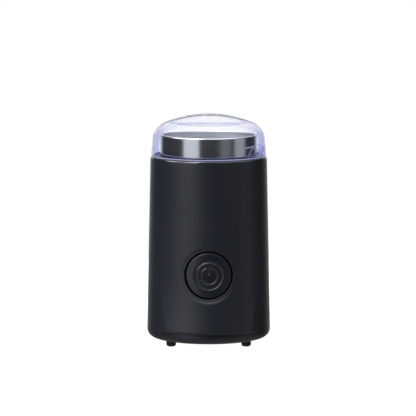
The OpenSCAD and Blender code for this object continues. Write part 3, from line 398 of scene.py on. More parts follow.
def make_piece(form, name, body, finish, slot, *replaced, sharp=32):
    """Cleans a form, makes it a named piece that rides on its body and puts it in the place of CAD nodes."""
    bmesh.ops.remove_doubles(form, verts=form.verts, dist=1e-7)
    bmesh.ops.dissolve_degenerate(form, edges=form.edges, dist=1e-8)
    bmesh.ops.delete(form, geom=[v for v in form.verts if not v.link_faces], context="VERTS")
    bmesh.ops.recalc_face_normals(form, faces=form.faces)
    mesh = bpy.data.meshes.new(name)
    form.to_mesh(mesh)
    form.free()
    mesh.shade_smooth()
    mesh.set_sharp_from_angle(angle=radians(sharp))
    mesh.materials.append(finish)
    piece = bpy.data.objects.new(name, mesh)
    bpy.context.scene.collection.objects.link(piece)
    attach(piece, body)
    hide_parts(*replaced)
    return piece


# The shell's columns run round the axis from the left rear, so that no gap crosses their seam. They lie
# closest at the front.
front_cells = 52
front_half = 26 * mm
front_turn = asin(front_half / shell_r(button_z))
facet_cells = 22
back_cells = 80
back_turn = (2 * pi - 2 * facet_angle) / back_cells
left_cells = 20
turns = [-facet_angle - back_turn * left_cells]
turns += steps_between(turns[0], -facet_angle, left_cells)
turns += steps_between(-facet_angle, -front_turn, facet_cells)
front_left = len(turns) - 1
turns += steps_between(-front_turn, front_turn, front_cells)
front_right = len(turns) - 1
turns += steps_between(front_turn, facet_angle, facet_cells)
side_start = len(turns) - 1
rest_cells = back_cells - left_cells
turns += steps_between(facet_angle, facet_angle + back_turn * rest_cells, rest_cells)[:-1]

# Its rows run down the outside, in under the foot, up the inside, in below the deck to the bowl's hole, and
# out over the deck and its rib to the first row again.
window_top = button_z + front_half
window_low = button_z - front_half
gland_z = foot_edge_z + 13.5 * mm
levels = ([deck_z - top_round] + steps_between(deck_z - top_round, window_top, 12)
          + steps_between(window_top, window_low, front_cells) + steps_between(window_low, chin_z, 13)
          + [chin_z - chin_round * sin(radians(a)) for a in (15, 30, 45, 60, 75)]
          + [chin_under_z + above * mm for above in (1.3, 1.15, 1.0, 0.8, 0.4, 0)]
          + [belly_z - foot_round * sin(radians(a)) for a in (0, 10, 20, 30, 40, 50, 60, 70, 80, 90)])
rows = []
for a in (radians(a) for a in (90, 72, 54, 36, 18)):
    far = top_r - top_round * (1 - cos(a))
    rows.append([at_turn(turn, far, deck_z - top_round * (1 - sin(a))) for turn in turns])
outer_first = len(rows)
rows += [[at_turn(turn, skin_r(turn, z), z) for turn in turns] for z in levels]
opening_r = belly_r - foot_round - 0.3 * mm
cover_top = foot_edge_z + wall
rows += [[at_turn(turn, opening_r, z) for turn in turns] for z in (foot_edge_z, cover_top)]
deck_low = deck_z - wall
inner_levels = ([belly_z - (foot_round - wall) * cos(radians(a)) for a in (0, 30, 60)]
                + [belly_z, chin_under_z] + steps_between(chin_under_z, window_low, 12)
                + steps_between(window_low, window_top, front_cells)
                + steps_between(window_top, deck_low, 12))
inner_first = len(rows)
rows += [[at_turn(turn, inner_r(z), z) for turn in turns] for z in inner_levels]
deck_hole_r = 36.4 * mm
deck_edge = 0.3 * mm
deck_rings = [39.4 * mm, 38.6 * mm, 37.4 * mm, 36.8 * mm]
rib_r = 40.5 * mm
rib_in = rib_r - 0.7 * mm
rib_top = deck_z + rib_h
rib_edge = 0.15 * mm
deck_profile = [(far, deck_low) for far in deck_rings]
deck_profile += [(deck_hole_r, deck_low), (deck_hole_r, deck_z - deck_edge),
                 (deck_hole_r + deck_edge, deck_z)]
deck_profile += [(far, deck_z) for far in reversed(deck_rings)]
deck_profile += [(rib_in, deck_z), (rib_in, rib_top - rib_edge), (rib_in + rib_edge, rib_top),
                 (rib_r - rib_edge, rib_top), (rib_r, rib_top - rib_edge), (rib_r, deck_z)]
deck_low_first = len(rows)
deck_high_first = deck_low_first + len(deck_rings) + 3
rows += [[at_turn(turn, far, z) for turn in turns] for far, z in deck_profile]

# The gaps: the button's window and the cord's port, both through the wall, and the pin's slot in the deck.
outer_window = (outer_first + levels.index(window_top), outer_first + levels.index(window_low),
                front_left, front_right)
inner_window = (inner_first + inner_levels.index(window_low), inner_first + inner_levels.index(window_top),
                front_left, front_right)
gland_column = side_start + back_cells // 2
gland_half = 4
gland_below = 7 * mm
gland_above = 9.6 * mm


def rows_between(first, all_levels, low, high):
    """The first and last row between two heights."""
    inside = [i for i, z in enumerate(all_levels) if low < z < high]
    return first + min(inside), first + max(inside)


outer_port = (*rows_between(outer_first, levels, gland_z - gland_below, gland_z + gland_above),
              gland_column - gland_half, gland_column + gland_half)
inner_port = (*rows_between(inner_first, inner_levels, gland_z - gland_below, gland_z + gland_above),
              gland_column - gland_half, gland_column + gland_half)
slot_half = radians(2.5)
pin_left = max(j for j, turn in enumerate(turns) if turn < pi / 2 - slot_half)
pin_right = min(j for j, turn in enumerate(turns) if turn > pi / 2 + slot_half)
slot_rows = len(deck_rings) - 1
low_slot = (deck_low_first, deck_low_first + slot_rows, pin_left, pin_right)
high_slot = (deck_high_first, deck_high_first + slot_rows, pin_left, pin_right)

form = bmesh.new()
gaps = outer_window, inner_window, outer_port, inner_port, low_slot, high_slot
grid = lay_rows(form, rows, gaps, closed=True)

# The button's well: rings lead from the window over the scoop to its mouth, down to its floor with the
# stem's hole, and back along its outside to the wall.
hole_lip = 0.6 * mm
rings = [(25.2 * mm, 0.25, 0), (24.3 * mm, 0.5, 0), (23.5 * mm, 0.75, 0)]
rings += [(far * mm, 1, 0) for far in (22.8, 22.2, 21.8, 21.4, 21, 20.6, 20.2, 19.8, 19.4, 19, 18.7)]
rings += [(well_r + hole_lip * (1 - sin(radians(a))), 1, hole_lip * (1 - cos(radians(a))))
          for a in (0, 15, 30, 45, 60, 75, 90)]
mouth, angles = round_hole(form, gap_rim(grid, outer_window), (0.0, button_z), rings, on_skin)
well_t = 2 * mm
well_edge = 0.4 * mm
well_front = 38 * mm
well_floor = 33.44 * mm
well_back = well_floor - well_t
well_outer_r = well_r + well_t
well_rear_end = 35 * mm
floor_ring_r = 12 * mm
stem_hole_r = 4.2 * mm
cup = [(well_r, well_front), (well_r, well_floor + well_edge), (well_r - well_edge, well_floor),
       (floor_ring_r, well_floor), (stem_hole_r, well_floor), (stem_hole_r, well_back),
       (floor_ring_r, well_back), (well_outer_r - well_edge, well_back),
       (well_outer_r, well_back + well_edge), (well_outer_r, well_rear_end)]
back_of_cup = lay_rings(form, mouth, [[(far * cos(a), -y, button_z + far * sin(a)) for a in angles]
                                      for far, y in cup])
# The inside's window is laid from its low edge up, so its rim runs the other way round.
inner_rim = sorted(gap_rim(grid, inner_window), key=lambda v: atan2(v.co.z - button_z, v.co.x))
order = sorted(range(len(angles)), key=lambda n: angles[n])
matched = [None] * len(angles)
for vertex, n in zip(inner_rim, order):
    matched[n] = vertex
rings = []
for share in (0.33, 0.66, 1):
    ring = []
    for (x, _, z), a in zip((vertex.co for vertex in matched), angles):
        ring.append(inside_skin(x + (well_outer_r * cos(a) - x) * share,
                                z + (button_z + well_outer_r * sin(a) - z) * share))
    rings.append(ring)
inner_mouth = lay_rings(form, matched, rings)
join_loops(form, inner_mouth, back_of_cup)


def sew(form, first, second):
    """Joins two loops of different counts."""
    edges = [form.edges.get((loop[n - 1], loop[n])) or form.edges.new((loop[n - 1], loop[n]))
             for loop in (first, second) for n in range(len(loop))]
    bmesh.ops.bridge_loops(form, edges=edges)


def upright_at(x, y):
    """Stands a turned form upright at x and y."""
    return lambda u, v, w: (x + u, y + v, w)


def lay_turned(form, profile, place, columns=32):
    """A turned form from a profile of radii and places along its axis, which place puts in the grinder."""
    columns = [2 * pi * n / columns for n in range(columns)]
    lay_rows(form, [[Vector(place(far * cos(a), far * sin(a), along)) for a in columns]
                    for far, along in profile])


def lay_block(form, low, high, soft, turned=0):
    """A block between two corners with rounded edges, turned round the grinder's axis."""
    block = bmesh.ops.create_cube(form, size=1)["verts"]
    for vertex in block:
        x, y, z = [(a + b) / 2 + side * (b - a) for a, b, side in zip(low, high, vertex.co)]
        vertex.co = (x * cos(turned) - y * sin(turned), x * sin(turned) + y * cos(turned), z)
    edges = list({edge for vertex in block for edge in vertex.link_edges})
    bmesh.ops.bevel(form, geom=edges, offset=soft, segments=2, profile=0.5, affect="EDGES")


# The cord's port, and the hole for the safety pin.
port_r = 4.8 * mm
port = (0.0, gland_z)
port_rings = [(8.2 * mm, 0.5, 0), (7 * mm, 1, 0), (port_r, 1, 0)]
outer_lip, _ = round_hole(form, gap_rim(grid, outer_port), port, port_rings,
                          lambda x, z, drop: on_skin(x, z, drop, 1))
inner_lip, _ = round_hole(form, gap_rim(grid, inner_port), port, port_rings,
                          lambda x, z, drop: inside_skin(x, z, 1))
sew(form, outer_lip, inner_lip)

pin_hole_r = 1.4 * mm
pin_x = 38.1 * mm
pin_turns = [2 * pi * n / 32 for n in range(32)]
pin_hole = [[form.verts.new((pin_x + pin_hole_r * cos(a), pin_hole_r * sin(a), z)) for a in pin_turns]
            for z in (deck_z, deck_low)]
join_loops(form, *pin_hole)
sew(form, gap_rim(grid, high_slot), pin_hole[0])
sew(form, gap_rim(grid, low_slot), pin_hole[1])

# Posts for the base screws stand on the base cover, each with a rib to the wall.
thread_r = 1.3 * mm
weld = 0.3 * mm
soft_edge = 0.2 * mm
round_edge = 0.4 * mm
post_r = 3.2 * mm
post_at = 36.3 * mm
post_top = 23.9 * mm
post_hole = cover_top + 12 * mm
post_profile = [(0, post_hole), (thread_r, post_hole), (thread_r, cover_top),
                (post_r - soft_edge, cover_top), (post_r, cover_top + soft_edge),
                (post_r, post_top - round_edge), (post_r - round_edge, post_top), (0, post_top)]
for angle in (radians(a) for a in (70, 110, 250, 290)):
    lay_turned(form, post_profile, upright_at(post_at * cos(angle), post_at * sin(angle)))
    lay_block(form, (post_at + post_r - weld, -wall / 2, cover_top + wall),
              (inner_r(post_top) + weld, wall / 2, post_top), soft_edge, angle)

# Bosses for the carrier screws hang from the deck.
hanger_r = 2.5 * mm
hanger_at = 38.95 * mm
hanger_low = 113 * mm
hanger_hole = hanger_low + 11 * mm
hanger_profile = [(0, hanger_hole), (thread_r, hanger_hole), (thread_r, hanger_low), (hanger_r, hanger_low),
                  (hanger_r, deck_low + weld), (0, deck_low + weld)]
for angle in (radians(a) for a in (60, 180, 300)):
    lay_turned(form, hanger_profile, upright_at(hanger_at * cos(angle), hanger_at * sin(angle)))

# A pad at the back carries the terminal block and the capacitor. Two bosses behind the well carry the
# switch carrier.
rear_pad_half = 13 * mm
rear_pad_y = 38.03 * mm
rear_pad_low = 56 * mm
rear_pad_high = 91 * mm
rear_pad_back = inner_r(rear_pad_high) - 0.8 * mm
lay_block(form, (-rear_pad_half, rear_pad_y, rear_pad_low), (rear_pad_half, rear_pad_back, rear_pad_high),
          round_edge)
well_boss_r = 2.6 * mm
well_boss_end = well_back - well_t
well_boss_up = 11.2 * mm
well_boss_profile = [(0, well_back + weld), (well_boss_r, well_back + weld), (well_boss_r, well_boss_end),
                     (thread_r, well_boss_end), (thread_r, well_back), (0, well_back)]
for boss_z in (button_z - well_boss_up, button_z + well_boss_up):
    lay_turned(form, well_boss_profile, lambda u, v, w: (u, -w, boss_z + v))

# The rounded top edge is polished.
polish_r = rib_r + 1.5 * mm
for face in form.faces:
    x, y, z = face.calc_center_median()
    face.material_index = 1 if z > deck_z - top_round and hypot(x, y) > polish_r else 0
housing_shell = make_piece(form, "housing_shell", "root", satin_black, "dark_shell", "housing", sharp=34)
polished_black = moulded_plastic("polished_black", body_black, body_pale, 0.10, height=0.000002, IOR=1.9)
housing_shell.data.materials.append(polished_black)

# The button: one moulded cap of the same black ABS, set a millimetre below the housing and following its
# taper. A ring and the common power mark are engraved in its face, and its skirt runs in the well.
button_black = moulded_plastic("button_black", body_black, body_pale, 0.30, height=0.000006)
cap_r = 16.8 * mm
cap_sink = 1 * mm
cap_wall = 2.2 * mm
cap_round = 1.1 * mm
skirt_low = 38.44 * mm
skirt_in = cap_r - 1.8 * mm
seat_r = 7.5 * mm
seat_y = shell_r(button_z) - cap_sink - cap_wall
spigot_r = 1.5 * mm
spigot_hole = seat_y + 1.2 * mm
ring_r = 10.0 * mm
ring_half = 1.2 * mm
ring_depth = 0.6 * mm
mark_r = 6.1 * mm
mark_half = 0.95 * mm
mark_depth = 0.5 * mm
mark_gap_turn = asin(2.2 * mm / mark_r)
bar_ends = 1.1 * mm, 6.7 * mm
cap_columns = 240


def groove(off, half, depth):
    """Depth of a softly rounded groove at a distance from its middle."""
    return depth * (1 - smooth(off / half))


def engraved(x, up):
    """Depth of the ring and of the power mark at a place on the button's face."""
    far = hypot(x, up)
    if atan2(abs(x), up) > mark_gap_turn:
        off_mark = abs(far - mark_r)
    else:
        off_mark = hypot(abs(x) - mark_r * sin(mark_gap_turn), up - mark_r * cos(mark_gap_turn))
    off_bar = hypot(x, up - min(max(up, bar_ends[0]), bar_ends[1]))
    ring = groove(abs(far - ring_r), ring_half, ring_depth)
    return max(ring, groove(min(off_mark, off_bar), mark_half, mark_depth))


def on_cap(far, turn, sink):
    """A point that far from the button's axis, on its face or as deep below it."""
    x, up = far * sin(turn), far * cos(turn)
    return Vector((x, -sqrt((shell_r(button_z + up) - cap_sink - sink) ** 2 - x * x), button_z + up))


def in_well(far, turn, y):
    """A point that far from the button's axis and y in front of the grinder's axis."""
    return Vector((far * sin(turn), -y, button_z + far * cos(turn)))


cap_turns = [2 * pi * n / cap_columns for n in range(cap_columns)]
engraved_r = 11.2 * mm
face_steps = [0] + steps_between(0, engraved_r, 56) + [12 * mm, 13.5 * mm, 15 * mm]
sections = [[on_cap(far, turn, engraved(far * sin(turn), far * cos(turn))) for turn in cap_turns]
            for far in face_steps]
sections += [[on_cap(cap_r - cap_round * (1 - sin(radians(a))), turn, cap_round * (1 - cos(radians(a))))
              for turn in cap_turns] for a in (0, 15, 30, 45, 60, 75, 90)]
skirt_edge = 0.3 * mm
skirt_end = [(cap_r, skirt_low + skirt_edge), (cap_r - skirt_edge, skirt_low), (skirt_in, skirt_low)]
sections += [[in_well(far, turn, y) for turn in cap_turns] for far, y in skirt_end]
inner_round = [(skirt_in, 0.6 * mm), (skirt_in - 0.2 * mm, 0.2 * mm), (skirt_in - 0.6 * mm, 0), (seat_r, 0)]
sections += [[on_cap(far, turn, cap_wall + sink) for turn in cap_turns] for far, sink in inner_round]
stem_seat = [(seat_r, seat_y), (spigot_r, seat_y), (spigot_r, spigot_hole), (0, spigot_hole)]
sections += [[in_well(far, turn, y) for turn in cap_turns] for far, y in stem_seat]
form = bmesh.new()
lay_rows(form, sections)
make_piece(form, "button_face", "button", button_black, "button_black", "button_cap", sharp=40)

# The base cover and the cord gland: black ABS with a coarser grain than the housing. The cover closes it
# from below with four sunk screws; the gland lines the hole for the mains lead at the back.
base_black = moulded_plastic("base_black", body_black, body_pale, 0.48, grain=0.0004, height=0.000018)
dress(base_black, "base_cover", "cord_gland")

# The feet: four rubber buttons with a rounded sole. Each is pushed through a hole in the base cover, and
# its head holds it there.
black_rubber = moulded_plastic("black_rubber", (0.012, 0.012, 0.013), (0.022, 0.022, 0.023), 0.72,
                               grain=0.0003, height=0.000015)
foot_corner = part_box("feet")[1]
foot_r = 3.6 * mm
foot_x = foot_corner.x - foot_r
foot_y = foot_corner.y - foot_r
foot_top = foot_corner.z
sole_round = 1.8 * mm
sole_dip = 0.05 * mm
sole_flat_r = 1.4 * mm
neck_r = 2.2 * mm
head_r = 3 * mm
foot_profile = ([(0, 0), (sole_flat_r, sole_dip)]
                + [(foot_r - sole_round * (1 - sin(a)), sole_round * (1 - cos(a)))
                   for a in steps_between(0, pi / 2, 6)]
                + [(foot_r, foot_edge_z), (neck_r, foot_edge_z), (neck_r, cover_top), (head_r, cover_top),
                   (head_r - 0.4 * mm, foot_top - soft_edge), (head_r - 1 * mm, foot_top), (0, foot_top)])
form = bmesh.new()
for x, y in ((foot_x, foot_y), (-foot_x, foot_y), (foot_x, -foot_y), (-foot_x, -foot_y)):
    lay_turned(form, foot_profile, upright_at(x, y), 48)
make_piece(form, "rubber_feet", "root", black_rubber, "rubber", "feet", sharp=40)


# The screws, springs and small clips: zinc-plated steel, rolled, wound or stamped, with a mottled sheen
# from the plating bath and fine scuffs from the driver.
def plated_metal(name, colour, pale, roughness):
    """Plated or drawn metal: cloudy colour, uneven gloss and short scuffs."""
    finish, wire = new_finish(name)
    place = wire.node("ShaderNodeTexCoord", out="Object")
    clouds = mottling(wire, place, 260, 4, 0.6)
    scuffs = mottling(wire, place, 1900, 3, 0.7, 1.5)
    close_finish(wire, {
        "Base Color": blend_colour(wire, clouds.step(0.3, 0.7), (*colour, 1), (*pale, 1)),
        "Metallic": 1.0, "Roughness": roughness + 0.16 * scuffs.step(0.4, 0.8) - 0.06 * clouds,
        "Normal": relief(wire, scuffs, 0.000006)})
    return finish


zinc_plate = plated_metal("zinc_plate", (0.46, 0.47, 0.49), (0.60, 0.60, 0.58), 0.3)
dress(zinc_plate, "base_screws", "carrier_screws", "interlock_screws", "switch_screws", "mount_screws",
      "motor_screws", "clamp_screws", "terminal_screws", "bowl_nut")
spring_wire = plated_metal("spring_wire", (0.38, 0.38, 0.39), (0.50, 0.50, 0.50), 0.24)
dress(spring_wire, "interlock_spring", "brush_springs", "button_clip", "upper_retainer", "lower_retainer")

# The button's spring: four turns of round wire between the well's floor and the cap. It is wound at its full
# length and does not close up as the button goes in.
spring_low, spring_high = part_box("button_spring")
wire_r = 0.45 * mm
coil_r = spring_high.x - wire_r
coil_turns = 4
spring_long = spring_high.y - spring_low.y
wire_turns = [2 * pi * n / 12 for n in range(12)]
sections = []
for share in [0] + steps_between(0, 1, 24 * coil_turns):
    around = 2 * pi * coil_turns * share
    along = spring_high.y - wire_r - (spring_long - 2 * wire_r) * share
    sections.append([Vector(((coil_r + wire_r * cos(a)) * cos(around), along + wire_r * sin(a),
                             button_z + (coil_r + wire_r * cos(a)) * sin(around)))
                     for a in wire_turns])
form = bmesh.new()
wound = lay_rows(form, sections)
form.faces.new(wound[0])
form.faces.new(wound[-1])
press_spring = make_piece(form, "press_spring", "root", spring_wire, "screw_steel", "button_spring", sharp=60)
press_travel = next(joint["range_m"][1] for joint in frame["joints"] if joint["name"] == "button_press")
1 - press_travel / spring_long
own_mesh(press_spring)

# The switches and their carrier, the cord clamp, the brush holders, the bowl's carrier and the blade's hub:
# dark grey nylon with a fine eroded grain. Screws hold most of them. The brush holders sit on the motor's
# lower bracket, and the hub on the shaft.
grey_nylon = moulded_plastic("grey_nylon", (0.035, 0.035, 0.04), (0.05, 0.05, 0.055), 0.5, height=0.000014)
dress(grey_nylon, "interlock_switch", "main_switch", "switch_carrier", "cord_clamp", "brush_holders",
      "bowl_carrier", "blade_hub")

# The pins, plungers, bobbins, fan and terminal block: natural nylon, slightly yellow and waxy, moulded
# without paint.
white_nylon = moulded_plastic("white_nylon", (0.68, 0.67, 0.61), (0.79, 0.78, 0.73), 0.42, height=0.000008,
                              **{"Subsurface Weight": 0.15, "Subsurface Radius": (0.002, 0.002, 0.0015)})
dress(white_nylon, "interlock_pin", "button_stem", "switch_plunger", "coil_bobbins", "cooling_fan",
      "terminal_block")

# The capacitor and the leads: dipped and extruded blue plastic, smooth, a little uneven in gloss. The leads
# run from the terminal block to the switches, coils and brushes.
blue_sleeve = moulded_plastic("blue_sleeve", (0.03, 0.10, 0.35), (0.04, 0.13, 0.42), 0.34, grain=0.0008)
dress(blue_sleeve, "capacitor", "leads")


# The motor's brackets, the bowl's bush and the thermal cut-out's can: die-cast zinc alloy, cloudy and
# slightly pitted. The brackets clamp the stator, and the upper one hangs from the bowl's carrier on rubber
# mounts. The shaft's seal is rubber too.
def cast_metal(name, colour, pale, roughness):
    """Die-cast metal: a pitted skin with cloudy flow marks."""
    finish, wire = new_finish(name)
    place = wire.node("ShaderNodeTexCoord", out="Object")
    flow = mottling(wire, place, 90, 4, distortion=0.8)
    pits = wire.node("ShaderNodeTexVoronoi", None, {"Vector": place, "Scale": 1300}, "Distance")
    close_finish(wire, {
        "Base Color": blend_colour(wire, flow.step(0.35, 0.65), (*colour, 1), (*pale, 1)),
        "Metallic": 1.0, "Roughness": roughness + 0.12 * flow - 0.08 * pits,
        "Normal": relief(wire, pits, 0.00002)})
    return finish


cast_alloy = cast_metal("cast_alloy", (0.42, 0.42, 0.43), (0.54, 0.54, 0.55), 0.42)
dress(cast_alloy, "upper_bracket", "lower_bracket", "bowl_bush", "thermal_cutout")
dress(black_rubber, "motor_mounts", "shaft_seal")


# The turned metal parts: the shaft, its two sintered bushes, the brush caps and the commutator, with the
# fine rings that a lathe leaves.
def turned_metal(name, colour, pale, roughness, inside_r=-0.001, rim_z=1.0, painted_lift=0.0, satin=0.0):
    """Metal with fine rings round the grinder's axis. Within inside_r its colour is painted lighter by the
    given lift, as a stand-in for light falling in, and there and above rim_z it is less glossy by satin.
    """
    finish, wire = new_finish(name)
    place = wire.node("ShaderNodeTexCoord", out="Object")
    x, y, z = wire.node("ShaderNodeSeparateXYZ", None, {0: place}, ("X", "Y", "Z"))
    around = wire.maths("ARCTAN2", x, y)
    far = wire.maths("SQRT", x * x + y * y)
    rings_per_metre = 2500
    line = wire.node("ShaderNodeCombineXYZ", None,
                     {0: around * 1.5, 1: z * rings_per_metre, 2: far * rings_per_metre})
    streaks = mottling(wire, line, 1.0, 3, 0.6)
    inside = 1 - far.step(inside_r, inside_r + 0.4 * mm)
    duller = satin * wire.maths("MAXIMUM", inside, z.step(rim_z, rim_z + 0.7 * mm))
    ring_colours = [blend_colour(wire, streaks.step(0.3, 0.7), (*[part + more for part in colour], 1),
                                 (*[part + more for part in pale], 1)) for more in (0, painted_lift)]
    close_finish(wire, {
        "Base Color": blend_colour(wire, inside, *ring_colours), "Metallic": 1.0,
        "Roughness": roughness + 0.08 * streaks + duller, "Normal": relief(wire, streaks, 0.000004)})
    return finish


shaft_steel = turned_metal("shaft_steel", (0.46, 0.46, 0.48), (0.58, 0.58, 0.60), 0.2)
dress(shaft_steel, "motor_shaft")
bronze = turned_metal("bronze", (0.50, 0.34, 0.15), (0.62, 0.44, 0.20), 0.36)
dress(bronze, "upper_bearing", "lower_bearing")
brass = turned_metal("brass", (0.62, 0.45, 0.18), (0.74, 0.55, 0.25), 0.24)
dress(brass, "brush_caps")
worn_copper = turned_metal("worn_copper", (0.46, 0.22, 0.12), (0.64, 0.34, 0.18), 0.3)
dress(worn_copper, "commutator")


# The stator and the rotor: stacks of stamped steel sheets, seen as fine dark lines, with a film of varnish.
# The coils are enamelled copper wire, wound in even turns.
def ribbed_metal(name, colour, dark, roughness, pitch, direction, height):
    """Metal with even ridges, such as the edges of stacked sheets or the turns of a coil."""
    finish, wire = new_finish(name)
    place = wire.node("ShaderNodeTexCoord", out="Object")
    bands = 0.314 / pitch
    ridges = wire.node("ShaderNodeTexWave", {"wave_type": "BANDS", "bands_direction": direction}, {
        "Vector": place, "Scale": bands, "Distortion": 0.6, "Detail": 2, "Detail Scale": 0.4})
    stains = mottling(wire, place, 150, 4, 0.6)
    crests = ridges.step(0.1, 0.6) * (0.7 + 0.3 * stains)
    close_finish(wire, {
        "Base Color": blend_colour(wire, crests, (*dark, 1), (*colour, 1)), "Metallic": 1.0,
        "Roughness": roughness + 0.15 * stains, "Coat Weight": 0.4, "Coat Roughness": 0.2,
        "Normal": relief(wire, ridges, height)})
    return finish


sheet_stack = ribbed_metal("sheet_stack", (0.34, 0.34, 0.36), (0.12, 0.11, 0.11), 0.4,
                           pitch=0.0005, direction="Z", height=0.00003)
dress(sheet_stack, "stator_stack", "rotor_stack")
copper_turns = ribbed_metal("copper_turns", (0.62, 0.26, 0.10), (0.28, 0.09, 0.03), 0.28,
                            pitch=0.0004, direction="DIAGONAL", height=0.00005)
dress(copper_turns, "field_coils", "rotor_windings")

# The brushes: pressed carbon blocks, matt and slightly porous. They slide in their holders, and springs hold
# them against the commutator.
pressed_carbon = moulded_plastic("pressed_carbon", (0.018, 0.018, 0.019), (0.04, 0.04, 0.042), 0.6,
                                 grain=0.00035, height=0.00003)
dress(pressed_carbon, "carbon_brushes")

# The bowl, the blade and its nut: stainless steel. The bowl is deep-drawn with a rolled rim, polished
# outside and duller inside, where its colour is also painted lighter as a stand-in for light falling in. A
# bush and a nut clamp it to its carrier.
bowl_steel = turned_metal("bowl_steel", (0.58, 0.61, 0.66), (0.68, 0.71, 0.76), 0.14,
                          inside_r=35.3 * mm, rim_z=155.5 * mm, painted_lift=0.14, satin=0.3)
dress(bowl_steel, "grinding_bowl")
blade_steel = plated_metal("blade_steel", (0.58, 0.59, 0.61), (0.68, 0.69, 0.71), 0.16)
dress(blade_steel, "blade", "blade_nut")

# The lid: one clear styrene moulding, a cup with a domed crown and a flat step sunk into its front. A pad
# with a rib stands inside its right wall and works the safety pin. Its narrow edges carry a painted violet
# glow, and its low walls, where seen edge-on, a fainter painted glow and a deeper violet tint in upright
# streaks.
clear_plastic, wire = new_finish("clear_plastic")
place = wire.node("ShaderNodeTexCoord", out="Object")
flow = mottling(wire, place, 70, 2, 0.4)
smears = mottling(wire, place, 24, 5, 0.65)
x, y, z = wire.node("ShaderNodeSeparateXYZ", None, {0: place}, ("X", "Y", "Z"))
streaks_across = 420
streaks_upright = 25
stretched = wire.node("ShaderNodeCombineXYZ", None,
                      {0: x * streaks_across, 1: y * streaks_across, 2: z * streaks_upright})
streaks = mottling(wire, stretched, 1.0, 1)
low_wall = (1 - z.step(156 * mm, 167 * mm)) * (0.35 + 0.65 * streaks.step(0.42, 0.58))
edge_on = wire.node("ShaderNodeLayerWeight", None, {"Blend": 0.5}, "Facing").step(0.36, 0.66)
# Painted glow: where the low walls are seen edge-on, in upright streaks, their colour turns a deeper violet
# and they glow faintly violet, though no lamp lights them.
painted_wall_glow = low_wall * edge_on
tint = wire.node("ShaderNodeVolumeAbsorption", None, {"Color": (0.56, 0.57, 0.82, 1), "Density": 18.0})
close_finish(wire, {
    "Base Color": blend_colour(wire, painted_wall_glow, (0.99, 0.99, 1.0, 1), (0.42, 0.43, 0.58, 1)),
    "Emission Color": blend_colour(wire, painted_wall_glow, (0, 0, 0, 1), (0.065, 0.070, 0.130, 1)),
    "Emission Strength": 1.0, "IOR": 1.06, "Transmission Weight": 1.0,
    "Roughness": 0.03 * smears.step(0.55, 0.8), "Coat Weight": 0.15, "Coat Roughness": 0.02, "Coat IOR": 1.4,
    "Normal": relief(wire, flow, 0.00002)}, Volume=tint)

# A painted glow for the lid's narrow edges: a dim violet colour that glows, in mottled strength, though no
# lamp lights it.
painted_edge_glow, wire = new_finish("painted_edge_glow")
place = wire.node("ShaderNodeTexCoord", out="Object")
glow_mottle = mottling(wire, place, 90, 3, 0.6)
glow_colour = blend_colour(wire, glow_mottle.step(0.35, 0.65), (0.30, 0.32, 0.60, 1), (0.50, 0.52, 0.80, 1))
close_finish(wire, {"Base Color": (0.16, 0.17, 0.32, 1), "Roughness": 0.3 + 0.1 * glow_mottle,
                    "Emission Color": glow_colour, "Emission Strength": 0.75})

lid_low, lid_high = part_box("lid")
lid_wall = 2 * mm
lid_edge_r = lid_high.x
lid_side_r = lid_edge_r - 1 * mm
crown_r = 86 * mm
shoulder = 14 * mm
shoulder_x = lid_side_r - shoulder
crown_z = lid_high.z - crown_r
shoulder_z = crown_z + sqrt((crown_r - shoulder) ** 2 - shoulder_x ** 2)
crown_end = atan2(shoulder_z - crown_z, shoulder_x)
step_y = -12 * mm
step_z = 164.9 * mm
step_round = 0.6 * mm
lip_wall = 0.4 * mm
step_floor = 0.6 * mm
outer_rim_round = 0.8 * mm
inner_rim_round = 0.4 * mm
lip_run = 4 * mm
thin_run = 14 * mm
lid_columns = 360
lid_turns = [2 * pi * n / lid_columns - pi for n in range(lid_columns)]


def crown_height(x, y, skin):
    """Height of the crown's outside, where skin is 0, or of a surface that far inside it."""
    return crown_z + sqrt((crown_r - skin) ** 2 - x * x - y * y)


